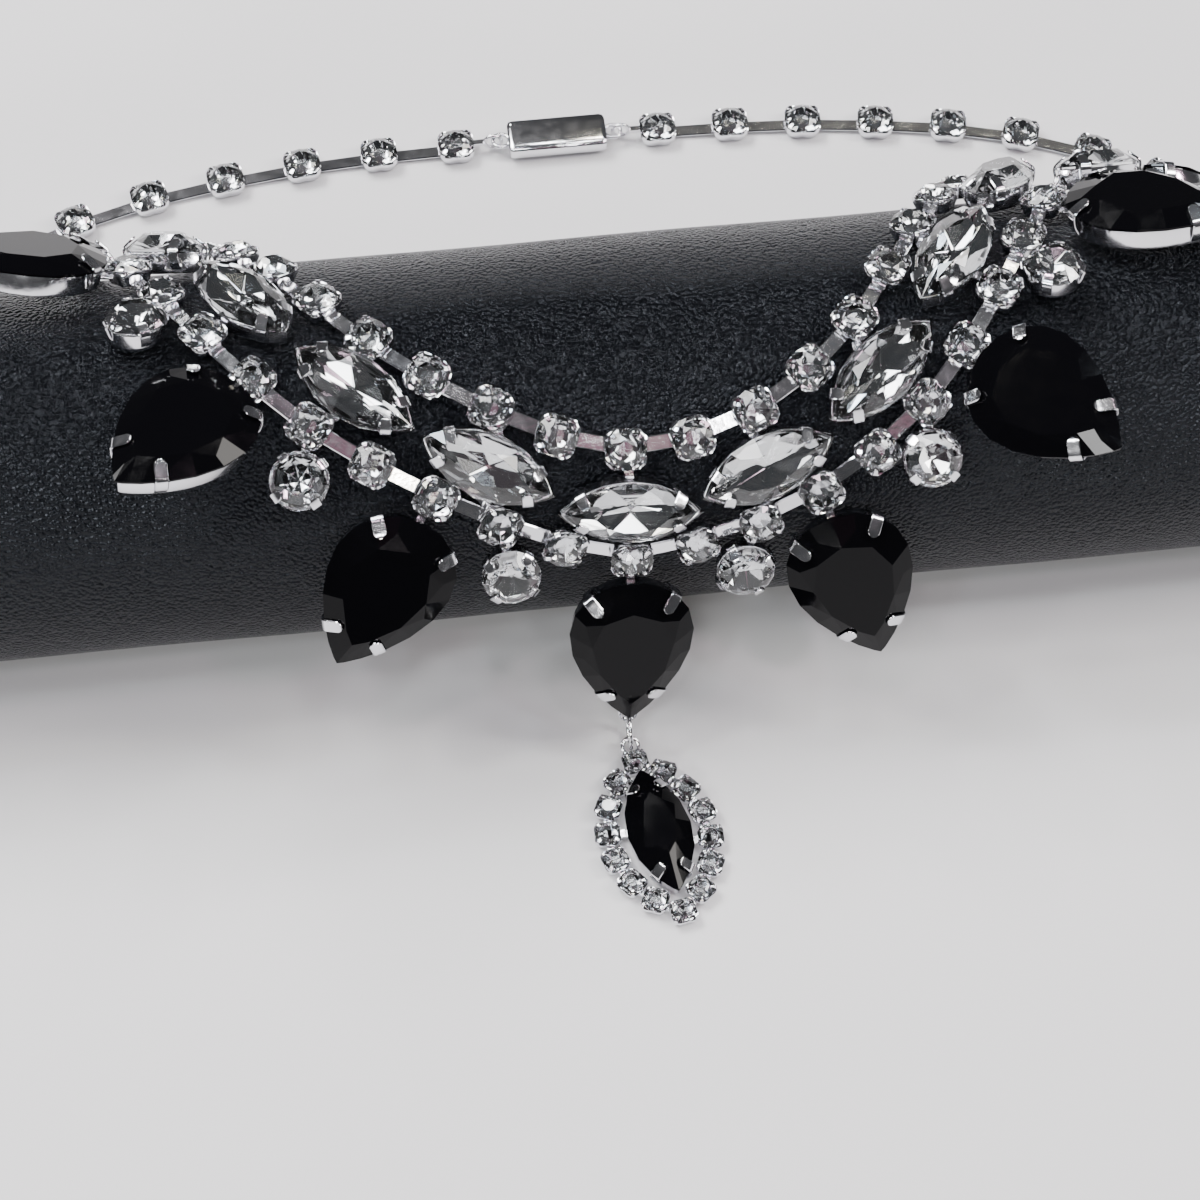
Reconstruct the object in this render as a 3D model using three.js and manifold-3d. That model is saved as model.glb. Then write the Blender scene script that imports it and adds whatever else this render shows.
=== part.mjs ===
// Bib necklace of clear and black stones, draped over a plain display roll.
// Millimetres, +Z up, the roll's axis along X, the necklace's front towards -Y.
import * as THREE from 'three';
import { mergeVertices } from 'three/addons/utils/BufferGeometryUtils.js';
import Module from 'manifold-3d';

const wasm = await Module();
wasm.setup();

// Display roll
const ROLL = { radius: 20, length: 190, restWidth: 10, endRound: 2.5, sides: 36 };
const ROLL_AXIS_HEIGHT = Math.sqrt(ROLL.radius ** 2 - (ROLL.restWidth / 2) ** 2);

// How the necklace lies
const ROLL_CLEARANCE = 0.35;
const FLOOR_CLEARANCE = 0.02;
const FLOOR_BEND_RADIUS = 6;
const PIECE_GAP = 0.3;

// Small stones of the two bib chains and of the neck strands
const SMALL = {
  radius: 2.15, cornerRadius: 2.5, foot: 1.7, table: 1.1, tableCorner: 1.2,
  rimHeight: 1.8, cornerRise: 0.75, height: 2.9,
};
const BAR = { width: 1.6, thickness: 0.4, height: 0.3 };
const SOLDER_BAR = { width: 1, thickness: 0.3, height: 0.25, showing: 0.15, startShare: 0.8 };

// Cut stones in open settings
const MARQUISE = { halfLength: 7.5, halfWidth: 3.5, tableShare: 0.5, crown: 1.7, pavilion: 1.4, sides: 10 };
const ROUND = { radius: 3.1, tableShare: 0.55, crown: 1.4, pavilion: 1.3, sides: 10 };
const PEAR = { length: 18, width: 13, tableShare: 0.72, crown: 1.4, pavilion: 1.6, sides: 12 };
const PEAR_SWELL = { power: 0.75, largest: 0.8 };
const CULET_SHARE = 0.3;
const SETTING = { floor: 0.6, wall: 0.45, rimShare: 0.93, rimDrop: 0.6 };
const PRONG = { width: 0.9, thickness: 0.4, grip: 0.7, root: 0.4, rootShare: 0.25, foldShare: 0.5 };
const PEAR_PRONG = { ...PRONG, width: 1.1, grip: 0.9, root: 0.6 };

// Rings
const WIRE_RADIUS = 0.25;
const LOOP_RADIUS = 0.9;
const JUMP_RING_ADVANCE = 2.3;
const RING_SIDES = 10;
const WIRE_SIDES = 5;

// Joining leaves points that bend a face by less than this, and they are dropped
const FINEST_DETAIL = 0.01;

// Pendant: a black marquise in a leaf-shaped halo of tiny stones
const HALO = {
  halfLength: 9.3, halfWidth: 5.4, stoneCount: 14, barWidth: 1, barThickness: 0.5, holdShare: 0.8,
};
const TINY = {
  radius: 1.3, cornerRadius: 1.5, foot: 1.1, table: 0.65, tableCorner: 0.7,
  rimHeight: 1.3, cornerRise: 0.3, height: 1.9,
};
const PENDANT_LEAN = 9;
const PENDANT_LOOP_HEIGHT = 0.95;
const PENDANT_LOOP_TILT = 38;

// Clasp behind the roll
const CLASP = { length: 12, width: 5, thickness: 2, eyeRadius: 1 };

// Routes of the two bib chains over the roll. across is along the roll, along
// is measured over its surface, front positive, from its top line for the
// roll above. On another roll the whole necklace is slid over it, until the
// middle pear's tip is again at TIP_HEIGHT above the floor.
const TIP_HEIGHT = 4.3;
const BIB_STONES = { innerCount: 17, outerCount: 19 };
const INNER_ROUTE = [
  { across: -42, along: -20.8 },
  { across: -34.3, along: -8.7 },
  { across: -25.1, along: 2.2 },
  { across: -13.3, along: 10.4 },
  { across: 0, along: 15.4 },
  { across: 13.6, along: 12.8 },
  { across: 24.8, along: 4.8 },
  { across: 32.9, along: -6.6 },
  { across: 40, along: -18.6 },
];
const OUTER_ROUTE = [
  { across: -49.5, along: -12.4 },
  { across: -42.8, along: -1.3 },
  { across: -32.8, along: 9.7 },
  { across: -20.3, along: 18.1 },
  { across: -10.4, along: 23.5 },
  { across: 0, along: 27.5 },
  { across: 9.6, along: 25.6 },
  { across: 19.5, along: 21.8 },
  { across: 31, along: 13.9 },
  { across: 40.1, along: 3.1 },
  { across: 47.4, along: -9.1 },
];

// Routes of the neck strands, from the bib's ends down behind the roll and
// back along the floor to the clasp.
const NECK_ROUTES = {
  left: [
    { across: -53, along: -17 },
    { across: -59.5, along: -24.5 },
    { across: -69.5, along: -34.5 },
    { across: -77.5, along: -45 },
    { across: -80.5, along: -57 },
    { across: -74, along: -69 },
    { across: -57, along: -78 },
    { across: -32, along: -83 },
    { across: -9, along: -84 },
  ],
  right: [
    { across: 50.8, along: -13.3 },
    { across: 58, along: -20.5 },
    { across: 68, along: -30 },
    { across: 77, along: -42.5 },
    { across: 80.5, along: -55 },
    { across: 74, along: -68 },
    { across: 57, along: -78 },
    { across: 32, along: -83 },
    { across: 9, along: -84 },
  ],
};
const NECK_STRAND = { marquisePitch: 16.4, smallPitch: 9.2, smallGap: 0.5, endReach: 2.4 };

// Stones hanging from the outer chain: cup counts outwards from the middle.
// In degrees, lean is the turn from straight down towards +X, roll the turn
// about the stone's own length and lift the rise of its far end.
const ROUND_DROPS = [
  { name: 'round_stone_left_3', cup: -8, lean: -27 },
  { name: 'round_stone_left_2', cup: -5, lean: -15 },
  { name: 'round_stone_left_1', cup: -2, lean: 7 },
  { name: 'round_stone_right_1', cup: 2, lean: -18 },
  { name: 'round_stone_right_2', cup: 5, lean: 0 },
  { name: 'round_stone_right_3', cup: 8, lean: 21 },
];
const PEAR_DROPS = [
  { name: 'pear_stone_left_3', cup: -9, lean: -79, roll: -3, lift: 10 },
  { name: 'pear_stone_left_2', cup: -6, lean: -45, roll: 7, lift: 20 },
  { name: 'pear_stone_left_1', cup: -3, lean: -35, roll: -4, lift: -4 },
  { name: 'pear_stone_middle', cup: 0, lean: -3, roll: 0, lift: 8 },
  { name: 'pear_stone_right_1', cup: 3, lean: 17, roll: 2, lift: -4 },
  { name: 'pear_stone_right_2', cup: 6, lean: 48, roll: 10, lift: 20 },
  { name: 'pear_stone_right_3', cup: 9, lean: 63, roll: 3, lift: 0 },
];

// Clear marquises between the chains: the inner and outer cups that hold them
const MARQUISES = [
  { name: 'marquise_stone_left_4', inner: -8, outer: -9 },
  { name: 'marquise_stone_left_3', inner: -6, outer: -7 },
  { name: 'marquise_stone_left_2', inner: -4, outer: -5 },
  { name: 'marquise_stone_left_1', inner: -2, outer: -2 },
  { name: 'marquise_stone_middle', inner: 0, outer: 0 },
  { name: 'marquise_stone_right_1', inner: 2, outer: 2 },
  { name: 'marquise_stone_right_2', inner: 4, outer: 5 },
  { name: 'marquise_stone_right_3', inner: 6, outer: 7 },
  { name: 'marquise_stone_right_4', inner: 8, outer: 9 },
];

// Prong places, as shares of the way round a stone's outline
const SIDE_SHARES = [0.125, 0.375, 0.625, 0.875];
const PEAR_SHARES = [0.14, 0.4, 0.6, 0.86];

const UP = new THREE.Vector3(0, 0, 1);
const degrees = THREE.MathUtils.degToRad;

// A closed geometry as a solid that can be joined and cut
function solid(geometry) {
  const bare = geometry.index ? geometry.toNonIndexed() : geometry.clone();
  bare.deleteAttribute('normal');
  bare.deleteAttribute('uv');
  const merged = mergeVertices(bare, 1e-4);
  const vertProperties = new Float32Array(merged.attributes.position.array);
  const triVerts = new Uint32Array(merged.index.array);
  return new wasm.Manifold(new wasm.Mesh({ numProp: 3, vertProperties, triVerts }));
}

function placed(geometry, matrix) {
  return solid(geometry.clone().applyMatrix4(matrix));
}

function joined(solids) {
  return solids.reduce((whole, piece) => whole.add(piece));
}

function geometryOf(body) {
  const { vertProperties, triVerts, numProp } = body.asOriginal().simplify(FINEST_DETAIL).getMesh();
  const positions = new Float32Array((vertProperties.length / numProp) * 3);
  for (let i = 0; i < positions.length / 3; i += 1) {
    positions.set(vertProperties.subarray(i * numProp, i * numProp + 3), i * 3);
  }
  const geometry = new THREE.BufferGeometry();
  geometry.setAttribute('position', new THREE.BufferAttribute(positions, 3));
  geometry.setIndex(new THREE.BufferAttribute(new Uint32Array(triVerts), 1));
  geometry.computeVertexNormals();
  return geometry;
}

// Height, depth and slope of the surface that the necklace lies on, followed
// backwards: over the roll, straight down behind it, round a bend to the floor.
function drape(along) {
  const radius = ROLL.radius + ROLL_CLEARANCE;
  const quarter = radius * Math.PI / 2;
  const turn = along / radius;
  if (along > -quarter) {
    const y = -radius * Math.sin(turn);
    const z = ROLL_AXIS_HEIGHT + radius * Math.cos(turn);
    return { y, z, turn };
  }
  const drop = ROLL_AXIS_HEIGHT - FLOOR_CLEARANCE - FLOOR_BEND_RADIUS;
  const past = -along - quarter;
  if (past < drop) {
    return { y: radius, z: ROLL_AXIS_HEIGHT - past, turn: -Math.PI / 2 };
  }
  const bend = (past - drop) / FLOOR_BEND_RADIUS;
  const angle = Math.min(bend, Math.PI / 2);
  const beyond = Math.max(0, past - drop - FLOOR_BEND_RADIUS * Math.PI / 2);
  return {
    y: radius + FLOOR_BEND_RADIUS * (1 - Math.cos(angle)) + beyond,
    z: FLOOR_CLEARANCE + FLOOR_BEND_RADIUS * (1 - Math.sin(angle)),
    turn: angle - Math.PI / 2,
  };
}

// A frame on the draped surface: X at an angle from +X towards the front,
// Z out of the surface, and the origin on it.
function frameAt(across, along, angle = 0) {
  const { y, z, turn } = drape(along + LAY_SHIFT);
  return new THREE.Matrix4().makeTranslation(across, y, z)
    .multiply(new THREE.Matrix4().makeRotationX(turn))
    .multiply(new THREE.Matrix4().makeRotationZ(-angle));
}

function moved(frame, x, y, z) {
  return frame.clone().multiply(new THREE.Matrix4().makeTranslation(x, y, z));
}

function originOf(frame) {
  return new THREE.Vector3().setFromMatrixPosition(frame);
}

const CUP_REACH = SMALL.radius + SOLDER_BAR.showing + PIECE_GAP;

// From a cup's frame to that of the stone that leaves it in a straight line
function dropTurn({ lean, roll = 0, lift = 0 }, halfLength) {
  return new THREE.Matrix4().makeRotationZ(degrees(lean - 90))
    .multiply(new THREE.Matrix4().makeRotationX(degrees(roll)))
    .multiply(new THREE.Matrix4().makeRotationY(degrees(-lift)))
    .multiply(new THREE.Matrix4().makeTranslation(CUP_REACH + halfLength, 0, 0));
}

// The eye at the middle pear's tip, which the pendant's jump ring goes through
const MIDDLE_PEAR = PEAR_DROPS.find((row) => row.cup === 0);
const TIP_EYE_HEIGHT = 1;
const TIP_EYE_REACH = PEAR.length / 2 + PIECE_GAP + WIRE_RADIUS;

// How far the necklace is slid over the roll to bring that eye to TIP_HEIGHT:
// where out cos(turn) - down sin(turn) is the height above the roll's axis
function layShift() {
  const eye = new THREE.Vector3(TIP_EYE_REACH, 0, TIP_EYE_HEIGHT)
    .applyMatrix4(dropTurn(MIDDLE_PEAR, PEAR.length / 2));
  const radius = ROLL.radius + ROLL_CLEARANCE;
  const out = radius + eye.z;
  const down = -eye.y;
  const turn = Math.acos((TIP_HEIGHT - ROLL_AXIS_HEIGHT) / Math.hypot(out, down)) - Math.atan2(down, out);
  const middleRow = OUTER_ROUTE[(OUTER_ROUTE.length - 1) / 2];
  return turn * radius - middleRow.along;
}

const LAY_SHIFT = layShift();

// Places along a route, each with its frame, equally spaced on both sides of
// its middle row
function placesOn(route, count) {
  const curve = new THREE.CatmullRomCurve3(
    route.map((row) => new THREE.Vector3(row.across, row.along, 0)), false, 'centripetal');
  const divisions = 100 * (route.length - 1);
  curve.arcLengthDivisions = divisions;
  const lengths = curve.getLengths(divisions);
  const middle = lengths[divisions / 2] / lengths[divisions];
  return Array.from({ length: count }, (_, i) => {
    const part = 2 * i / (count - 1) - 1;
    return placeAt(curve, middle + part * (part < 0 ? middle : 1 - middle));
  });
}

function placeAt(curve, share) {
  const point = curve.getPointAt(share);
  const tangent = curve.getTangentAt(share);
  const angle = Math.atan2(tangent.y, tangent.x);
  return { across: point.x, along: point.y, angle, frame: frameAt(point.x, point.y, angle) };
}

// A flat bar between two points, its broad side facing the mean of two frames
function barBetween(from, to, width, thickness) {
  const start = originOf(from);
  const end = originOf(to);
  const direction = end.clone().sub(start);
  const up = new THREE.Vector3().setFromMatrixColumn(from, 2)
    .add(new THREE.Vector3().setFromMatrixColumn(to, 2));
  const side = up.clone().cross(direction).normalize();
  const normal = direction.clone().cross(side).normalize();
  const middle = start.clone().add(end).multiplyScalar(0.5);
  const basis = new THREE.Matrix4().makeBasis(direction.clone().normalize(), side, normal);
  basis.setPosition(middle);
  return placed(new THREE.BoxGeometry(direction.length(), width, thickness), basis);
}

function linkBar(from, to) {
  return barBetween(moved(from, 0, 0, BAR.height + BAR.thickness / 2),
    moved(to, 0, 0, BAR.height + BAR.thickness / 2), BAR.width, BAR.thickness);
}

// Eight points of a square ring: the middle of each side and each corner
function squareRing(side, corner, height, cornerRise) {
  return Array.from({ length: 8 }, (_, i) => {
    const atCorner = i % 2 === 1;
    const point = new THREE.Vector3(atCorner ? corner : side, 0, atCorner ? height + cornerRise : height);
    return point.applyAxisAngle(UP, i * Math.PI / 4);
  });
}

// A small faceted stone in its square cup: the rim's corners rise as prongs
function smallCup(frame, size = SMALL) {
  const { foot, radius, table, tableCorner, rimHeight, height, cornerRadius, cornerRise } = size;
  return placed(loft([
    squareRing(foot, foot * cornerRadius / radius, 0, 0),
    squareRing(radius, cornerRadius, rimHeight, cornerRise),
    squareRing(table, tableCorner, height, 0),
  ]), frame);
}

// Outlines of the cut stones, anticlockwise, long way along X
function marquiseOutline(size) {
  const { halfLength, halfWidth, sides } = size;
  const radius = (halfLength ** 2 + halfWidth ** 2) / (2 * halfWidth);
  const reach = Math.asin(halfLength / radius);
  const half = sides / 2;
  return Array.from({ length: sides }, (_, i) => {
    const upper = i < half;
    const angle = reach * (1 - (2 * (i % half)) / half) * (upper ? 1 : -1);
    const rise = radius * Math.cos(angle) - (radius - halfWidth);
    return new THREE.Vector2(radius * Math.sin(angle), upper ? rise : -rise);
  });
}

function roundOutline(size) {
  return Array.from({ length: size.sides }, (_, i) => {
    const angle = (i / size.sides) * Math.PI * 2;
    return new THREE.Vector2(size.radius * Math.cos(angle), size.radius * Math.sin(angle));
  });
}

// The wide end is at -X and the tip at +X. The swell is largest towards the
// wide end.
function pearOutline(size) {
  return Array.from({ length: size.sides }, (_, i) => {
    const angle = (i / size.sides) * Math.PI * 2;
    const swell = Math.sin(angle) * Math.sin(angle / 2) ** PEAR_SWELL.power / PEAR_SWELL.largest;
    return new THREE.Vector2(Math.cos(angle) * size.length / 2, swell * size.width / 2);
  });
}

// A closed solid lofted through rings that have the same number of points
function loft(rings) {
  const count = rings[0].length;
  const positions = [];
  const corner = (ring, i) => rings[ring][i % count].toArray();
  const last = rings.length - 1;
  for (let r = 0; r < last; r += 1) {
    for (let i = 0; i < count; i += 1) {
      positions.push(...corner(r, i), ...corner(r, i + 1), ...corner(r + 1, i + 1));
      positions.push(...corner(r, i), ...corner(r + 1, i + 1), ...corner(r + 1, i));
    }
  }
  for (let i = 1; i < count - 1; i += 1) {
    positions.push(...corner(0, 0), ...corner(0, i + 1), ...corner(0, i));
    positions.push(...corner(last, 0), ...corner(last, i), ...corner(last, i + 1));
  }
  const geometry = new THREE.BufferGeometry();
  geometry.setAttribute('position', new THREE.Float32BufferAttribute(positions, 3));
  return geometry;
}

// An outline scaled by a share and lifted to a height
function levelRing(outline, share, height) {
  return outline.map((point) => new THREE.Vector3(point.x * share, point.y * share, height));
}

// Heights in a setting, all from the stone's own sizes
function levels(size) {
  const culet = SETTING.floor + PIECE_GAP;
  const girdle = culet + size.pavilion;
  return { culet, girdle, rim: girdle - SETTING.rimDrop, table: girdle + size.crown };
}

function cutStone(outline, size) {
  const { culet, girdle, table } = levels(size);
  return loft([
    levelRing(outline, CULET_SHARE, culet),
    levelRing(outline, 1, girdle),
    levelRing(outline, size.tableShare, table),
  ]);
}

// An open cup below the stone, its walls following the outline
function openCup(outline, size, frame) {
  const { rim } = levels(size);
  const narrowest = Math.min(...outline.map((point) => point.length()));
  const innerShare = SETTING.rimShare - SETTING.wall / narrowest;
  const outer = loft([
    levelRing(outline, SETTING.rimShare, 0),
    levelRing(outline, SETTING.rimShare, rim),
  ]);
  const hollow = loft([
    levelRing(outline, innerShare, SETTING.floor),
    levelRing(outline, innerShare, rim + 1),
  ]);
  return placed(outer, frame).subtract(placed(hollow, frame));
}

// A bent tab that comes out under the stone's edge, stands up outside it and
// folds over its crown. Made at the origin, reaching inwards along -X.
function tabProng(prong, size) {
  const { girdle, rim } = levels(size);
  const rise = size.crown * prong.foldShare;
  const outer = PIECE_GAP + prong.thickness;
  const shape = new THREE.Shape();
  shape.moveTo(-prong.root, rim * prong.rootShare);
  shape.lineTo(outer, rim);
  shape.lineTo(outer, girdle + PIECE_GAP);
  shape.lineTo(-prong.grip, girdle + PIECE_GAP + rise + prong.thickness);
  shape.lineTo(PIECE_GAP, girdle - PIECE_GAP / 2);
  const tab = new THREE.ExtrudeGeometry(shape, { depth: prong.width, bevelEnabled: false });
  return tab.translate(0, 0, -prong.width / 2).rotateX(Math.PI / 2);
}

function prongAt(point, heading, prong, size, frame) {
  const stand = new THREE.Matrix4().makeTranslation(point.x, point.y, 0)
    .multiply(new THREE.Matrix4().makeRotationZ(heading));
  return placed(tabProng(prong, size), frame.clone().multiply(stand));
}

function setting(outline, size, prong, stands, frame) {
  const tabs = stands.map((stand) => prongAt(stand.point, stand.heading, prong, size, frame));
  return joined([openCup(outline, size, frame), ...tabs]);
}

// Prong places on an outline, given as shares of the way round it
function standsOn(outline, shares) {
  return shares.map((share) => {
    const spot = share * outline.length;
    const from = outline[Math.floor(spot) % outline.length];
    const to = outline[(Math.floor(spot) + 1) % outline.length];
    const point = from.clone().lerp(to, spot - Math.floor(spot));
    const heading = Math.atan2(-(to.x - from.x), to.y - from.y);
    return { point, heading };
  });
}

const MARQUISE_OUTLINE = marquiseOutline(MARQUISE);
const ROUND_OUTLINE = roundOutline(ROUND);
const PEAR_OUTLINE = pearOutline(PEAR);
const MARQUISE_STANDS = standsOn(MARQUISE_OUTLINE, SIDE_SHARES);
const ROUND_STANDS = standsOn(ROUND_OUTLINE, SIDE_SHARES);
const PEAR_STANDS = standsOn(PEAR_OUTLINE, PEAR_SHARES);

function marquiseSetting(frame) {
  return setting(MARQUISE_OUTLINE, MARQUISE, PRONG, MARQUISE_STANDS, frame);
}

function roundSetting(frame) {
  return setting(ROUND_OUTLINE, ROUND, PRONG, ROUND_STANDS, frame);
}

function pearSetting(frame) {
  return setting(PEAR_OUTLINE, PEAR, PEAR_PRONG, PEAR_STANDS, frame);
}

// A wire ring lying in its frame's XY plane
function ring(frame, radius) {
  return placed(new THREE.TorusGeometry(radius, WIRE_RADIUS, WIRE_SIDES, RING_SIDES), frame);
}

// The bib: both chains, and the settings between and below them
const INNER = placesOn(INNER_ROUTE, BIB_STONES.innerCount);
const OUTER = placesOn(OUTER_ROUTE, BIB_STONES.outerCount);
const innerCup = (count) => INNER[count + (BIB_STONES.innerCount - 1) / 2];
const outerCup = (count) => OUTER[count + (BIB_STONES.outerCount - 1) / 2];
const endCup = (side) => OUTER[side === 'left' ? 0 : OUTER.length - 1];

function chain(places) {
  const cups = places.map((place) => smallCup(place.frame));
  const bars = places.slice(1).map((place, i) => linkBar(places[i].frame, place.frame));
  return joined([...cups, ...bars]);
}

// A marquise lies midway between its inner cup and the outer chain beside it
function marquiseFrame(row) {
  const inner = innerCup(row.inner);
  const share = (row.inner / (BIB_STONES.innerCount - 1) + 0.5) * (BIB_STONES.outerCount - 1);
  const before = OUTER[Math.floor(share)];
  const after = OUTER[Math.min(Math.floor(share) + 1, OUTER.length - 1)];
  const part = share - Math.floor(share);
  const across = before.across + (after.across - before.across) * part;
  const along = before.along + (after.along - before.along) * part;
  const angle = (inner.angle + before.angle) / 2;
  return frameAt((inner.across + across) / 2, (inner.along + along) / 2, angle);
}

// A solder bar from just inside a cup's side to a spot in a setting's wall
function solderBar(cup, spot) {
  const { width, thickness, height, startShare } = SOLDER_BAR;
  const centre = originOf(cup);
  const toSpot = originOf(spot).sub(centre).setLength(SMALL.foot * startShare);
  const from = cup.clone().setPosition(centre.add(toSpot));
  const middle = height + thickness / 2;
  return barBetween(moved(from, 0, 0, middle), moved(spot, 0, 0, middle), width, thickness);
}

function marquiseBar(place, frame, side) {
  const reach = MARQUISE.halfWidth * SETTING.rimShare - SETTING.wall / 2;
  return solderBar(place.frame, moved(frame, 0, side * reach, 0));
}

function dropFrame(row, halfLength) {
  const { across, along } = outerCup(row.cup);
  return frameAt(across, along).multiply(dropTurn(row, halfLength));
}

const roundFrame = (row) => dropFrame(row, ROUND.radius);
const pearFrame = (row) => dropFrame(row, PEAR.length / 2);

function dropBar(row, frame, halfLength) {
  const reach = halfLength * SETTING.rimShare - SETTING.wall / 2;
  return solderBar(outerCup(row.cup).frame, moved(frame, -reach, 0, 0));
}

const TIP_EYE = moved(pearFrame(MIDDLE_PEAR), TIP_EYE_REACH, 0, TIP_EYE_HEIGHT);

function tipEye() {
  const wall = PEAR.length / 2 * SETTING.rimShare - SETTING.wall / 2;
  const root = moved(TIP_EYE, wall - TIP_EYE_REACH, 0, 0);
  const stub = barBetween(root, moved(TIP_EYE, -LOOP_RADIUS, 0, 0), 2 * WIRE_RADIUS, 2 * WIRE_RADIUS);
  return ring(TIP_EYE, LOOP_RADIUS).add(stub);
}

// Neck strands, each starting at the end of the outer chain
const EYE_HEIGHT = 1.5;

function neckCurve(side) {
  const end = endCup(side);
  const last = (side === 'left' ? -1 : 1) * (CLASP.length / 2 + 2 * CLASP.eyeRadius - WIRE_RADIUS / 2);
  const rows = [{ across: end.across, along: end.along }, ...NECK_ROUTES[side]];
  const level = NECK_ROUTES[side][NECK_ROUTES[side].length - 1].along;
  rows.push({ across: last, along: level });
  return new THREE.CatmullRomCurve3(
    rows.map((row) => new THREE.Vector3(row.across, row.along, 0)), false, 'centripetal');
}

function neckLayout(side) {
  const curve = neckCurve(side);
  curve.arcLengthDivisions = 600;
  const length = curve.getLength();
  const at = (distance) => placeAt(curve, Math.min(Math.max(distance / length, 0), 1));
  const eye = SMALL.radius + CLASP.eyeRadius - WIRE_RADIUS / 2;
  const startRing = eye + CLASP.eyeRadius;
  const tip = MARQUISE.halfLength * SETTING.rimShare;
  const clear = startRing + CLASP.eyeRadius + WIRE_RADIUS + tip;
  const black = clear + NECK_STRAND.marquisePitch;
  const firstSmall = black + MARQUISE.halfLength + CUP_REACH + NECK_STRAND.smallGap;
  const lastSmall = length - NECK_STRAND.endReach - SMALL.radius;
  const count = Math.round((lastSmall - firstSmall) / NECK_STRAND.smallPitch) + 1;
  const pitch = (lastSmall - firstSmall) / (count - 1);
  const small = Array.from({ length: count }, (_, i) => at(firstSmall + pitch * i));
  return {
    eye: at(eye), startRing: at(startRing), clear: at(clear), black: at(black), small, endRing: at(length),
  };
}

const NECK = { left: neckLayout('left'), right: neckLayout('right') };

const standing = (place) => moved(place.frame, 0, 0, EYE_HEIGHT)
  .multiply(new THREE.Matrix4().makeRotationX(Math.PI / 2));

function wireBar(from, to) {
  const start = moved(from, 0, 0, EYE_HEIGHT);
  return barBetween(start, moved(to, 0, 0, EYE_HEIGHT), BAR.width / 2, BAR.thickness);
}

function neckStrand(layout) {
  const { startRing, clear, black, small, endRing } = layout;
  const tip = MARQUISE.halfLength * SETTING.rimShare - SETTING.wall;
  const radius = CLASP.eyeRadius;
  const last = small[small.length - 1];
  return joined([
    ring(standing(startRing), radius),
    wireBar(moved(startRing.frame, radius, 0, 0), moved(clear.frame, -tip, 0, 0)),
    marquiseSetting(clear.frame),
    linkBar(moved(clear.frame, tip, 0, 0), moved(black.frame, -tip, 0, 0)),
    marquiseSetting(black.frame),
    linkBar(moved(black.frame, tip, 0, 0), small[0].frame),
    chain(small),
    wireBar(last.frame, moved(endRing.frame, -radius, 0, 0)),
    ring(standing(endRing), radius),
  ]);
}

function endEye(side) {
  const eye = NECK[side].eye;
  return joined([
    ring(moved(eye.frame, 0, 0, EYE_HEIGHT), CLASP.eyeRadius),
    wireBar(endCup(side).frame, moved(eye.frame, -CLASP.eyeRadius, 0, 0)),
  ]);
}

function bibFrame() {
  const marquises = MARQUISES.map((row) => {
    const frame = marquiseFrame(row);
    return joined([
      marquiseSetting(frame),
      marquiseBar(innerCup(row.inner), frame, 1),
      marquiseBar(outerCup(row.outer), frame, -1),
    ]);
  });
  const rounds = ROUND_DROPS.map((row) => {
    const frame = roundFrame(row);
    return joined([roundSetting(frame), dropBar(row, frame, ROUND.radius)]);
  });
  const pears = PEAR_DROPS.map((row) => {
    const frame = pearFrame(row);
    return joined([pearSetting(frame), dropBar(row, frame, PEAR.length / 2)]);
  });
  return joined([
    chain(INNER),
    chain(OUTER),
    ...marquises,
    ...rounds,
    ...pears,
    tipEye(),
    endEye('left'),
    endEye('right'),
  ]);
}

// The jump ring hangs from the tip's eye down to the pendant's loop
const TIP_EYE_CENTRE = originOf(TIP_EYE);
const RING_DROP = TIP_EYE_CENTRE.z - FLOOR_CLEARANCE - PENDANT_LOOP_HEIGHT;
const JUMP_RING_RADIUS = Math.hypot(JUMP_RING_ADVANCE, RING_DROP) / 2;
const PENDANT_LOOP_CENTRE = TIP_EYE_CENTRE.clone().add(new THREE.Vector3(0, -JUMP_RING_ADVANCE, -RING_DROP));

function jumpRing() {
  const middle = TIP_EYE_CENTRE.clone().add(PENDANT_LOOP_CENTRE).multiplyScalar(0.5);
  const frame = new THREE.Matrix4().makeTranslation(middle.x, middle.y, middle.z)
    .multiply(new THREE.Matrix4().makeRotationY(Math.PI / 2));
  return ring(frame, JUMP_RING_RADIUS);
}

// The pendant lies on the floor in front, its length along the frame's X
const LOOP_TO_STONE = TINY.radius + LOOP_RADIUS - WIRE_RADIUS / 2;
const PENDANT = new THREE.Matrix4()
  .makeTranslation(PENDANT_LOOP_CENTRE.x, PENDANT_LOOP_CENTRE.y, FLOOR_CLEARANCE)
  .multiply(new THREE.Matrix4().makeRotationZ(degrees(PENDANT_LEAN - 90)))
  .multiply(new THREE.Matrix4().makeTranslation(LOOP_TO_STONE + HALO.halfLength, 0, 0));

function haloPoints() {
  const { halfLength, halfWidth, stoneCount } = HALO;
  const radius = (halfLength ** 2 + halfWidth ** 2) / (2 * halfWidth);
  const reach = Math.asin(halfLength / radius);
  const half = stoneCount / 2;
  return Array.from({ length: stoneCount }, (_, i) => {
    const side = i < half ? 1 : -1;
    const angle = reach * (1 - (2 * (i % half)) / half) * side;
    const rise = radius * Math.cos(angle) - (radius - halfWidth);
    return new THREE.Vector2(radius * Math.sin(angle), side * rise);
  });
}

function haloFrames() {
  return haloPoints().map((point) => {
    const heading = Math.atan2(point.y * HALO.halfLength / HALO.halfWidth, point.x);
    return moved(PENDANT, point.x, point.y, 0).multiply(new THREE.Matrix4().makeRotationZ(heading));
  });
}

function haloBar(from, to) {
  const middle = BAR.height + HALO.barThickness / 2;
  return barBetween(moved(from, 0, 0, middle), moved(to, 0, 0, middle), HALO.barWidth, HALO.barThickness);
}

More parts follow.
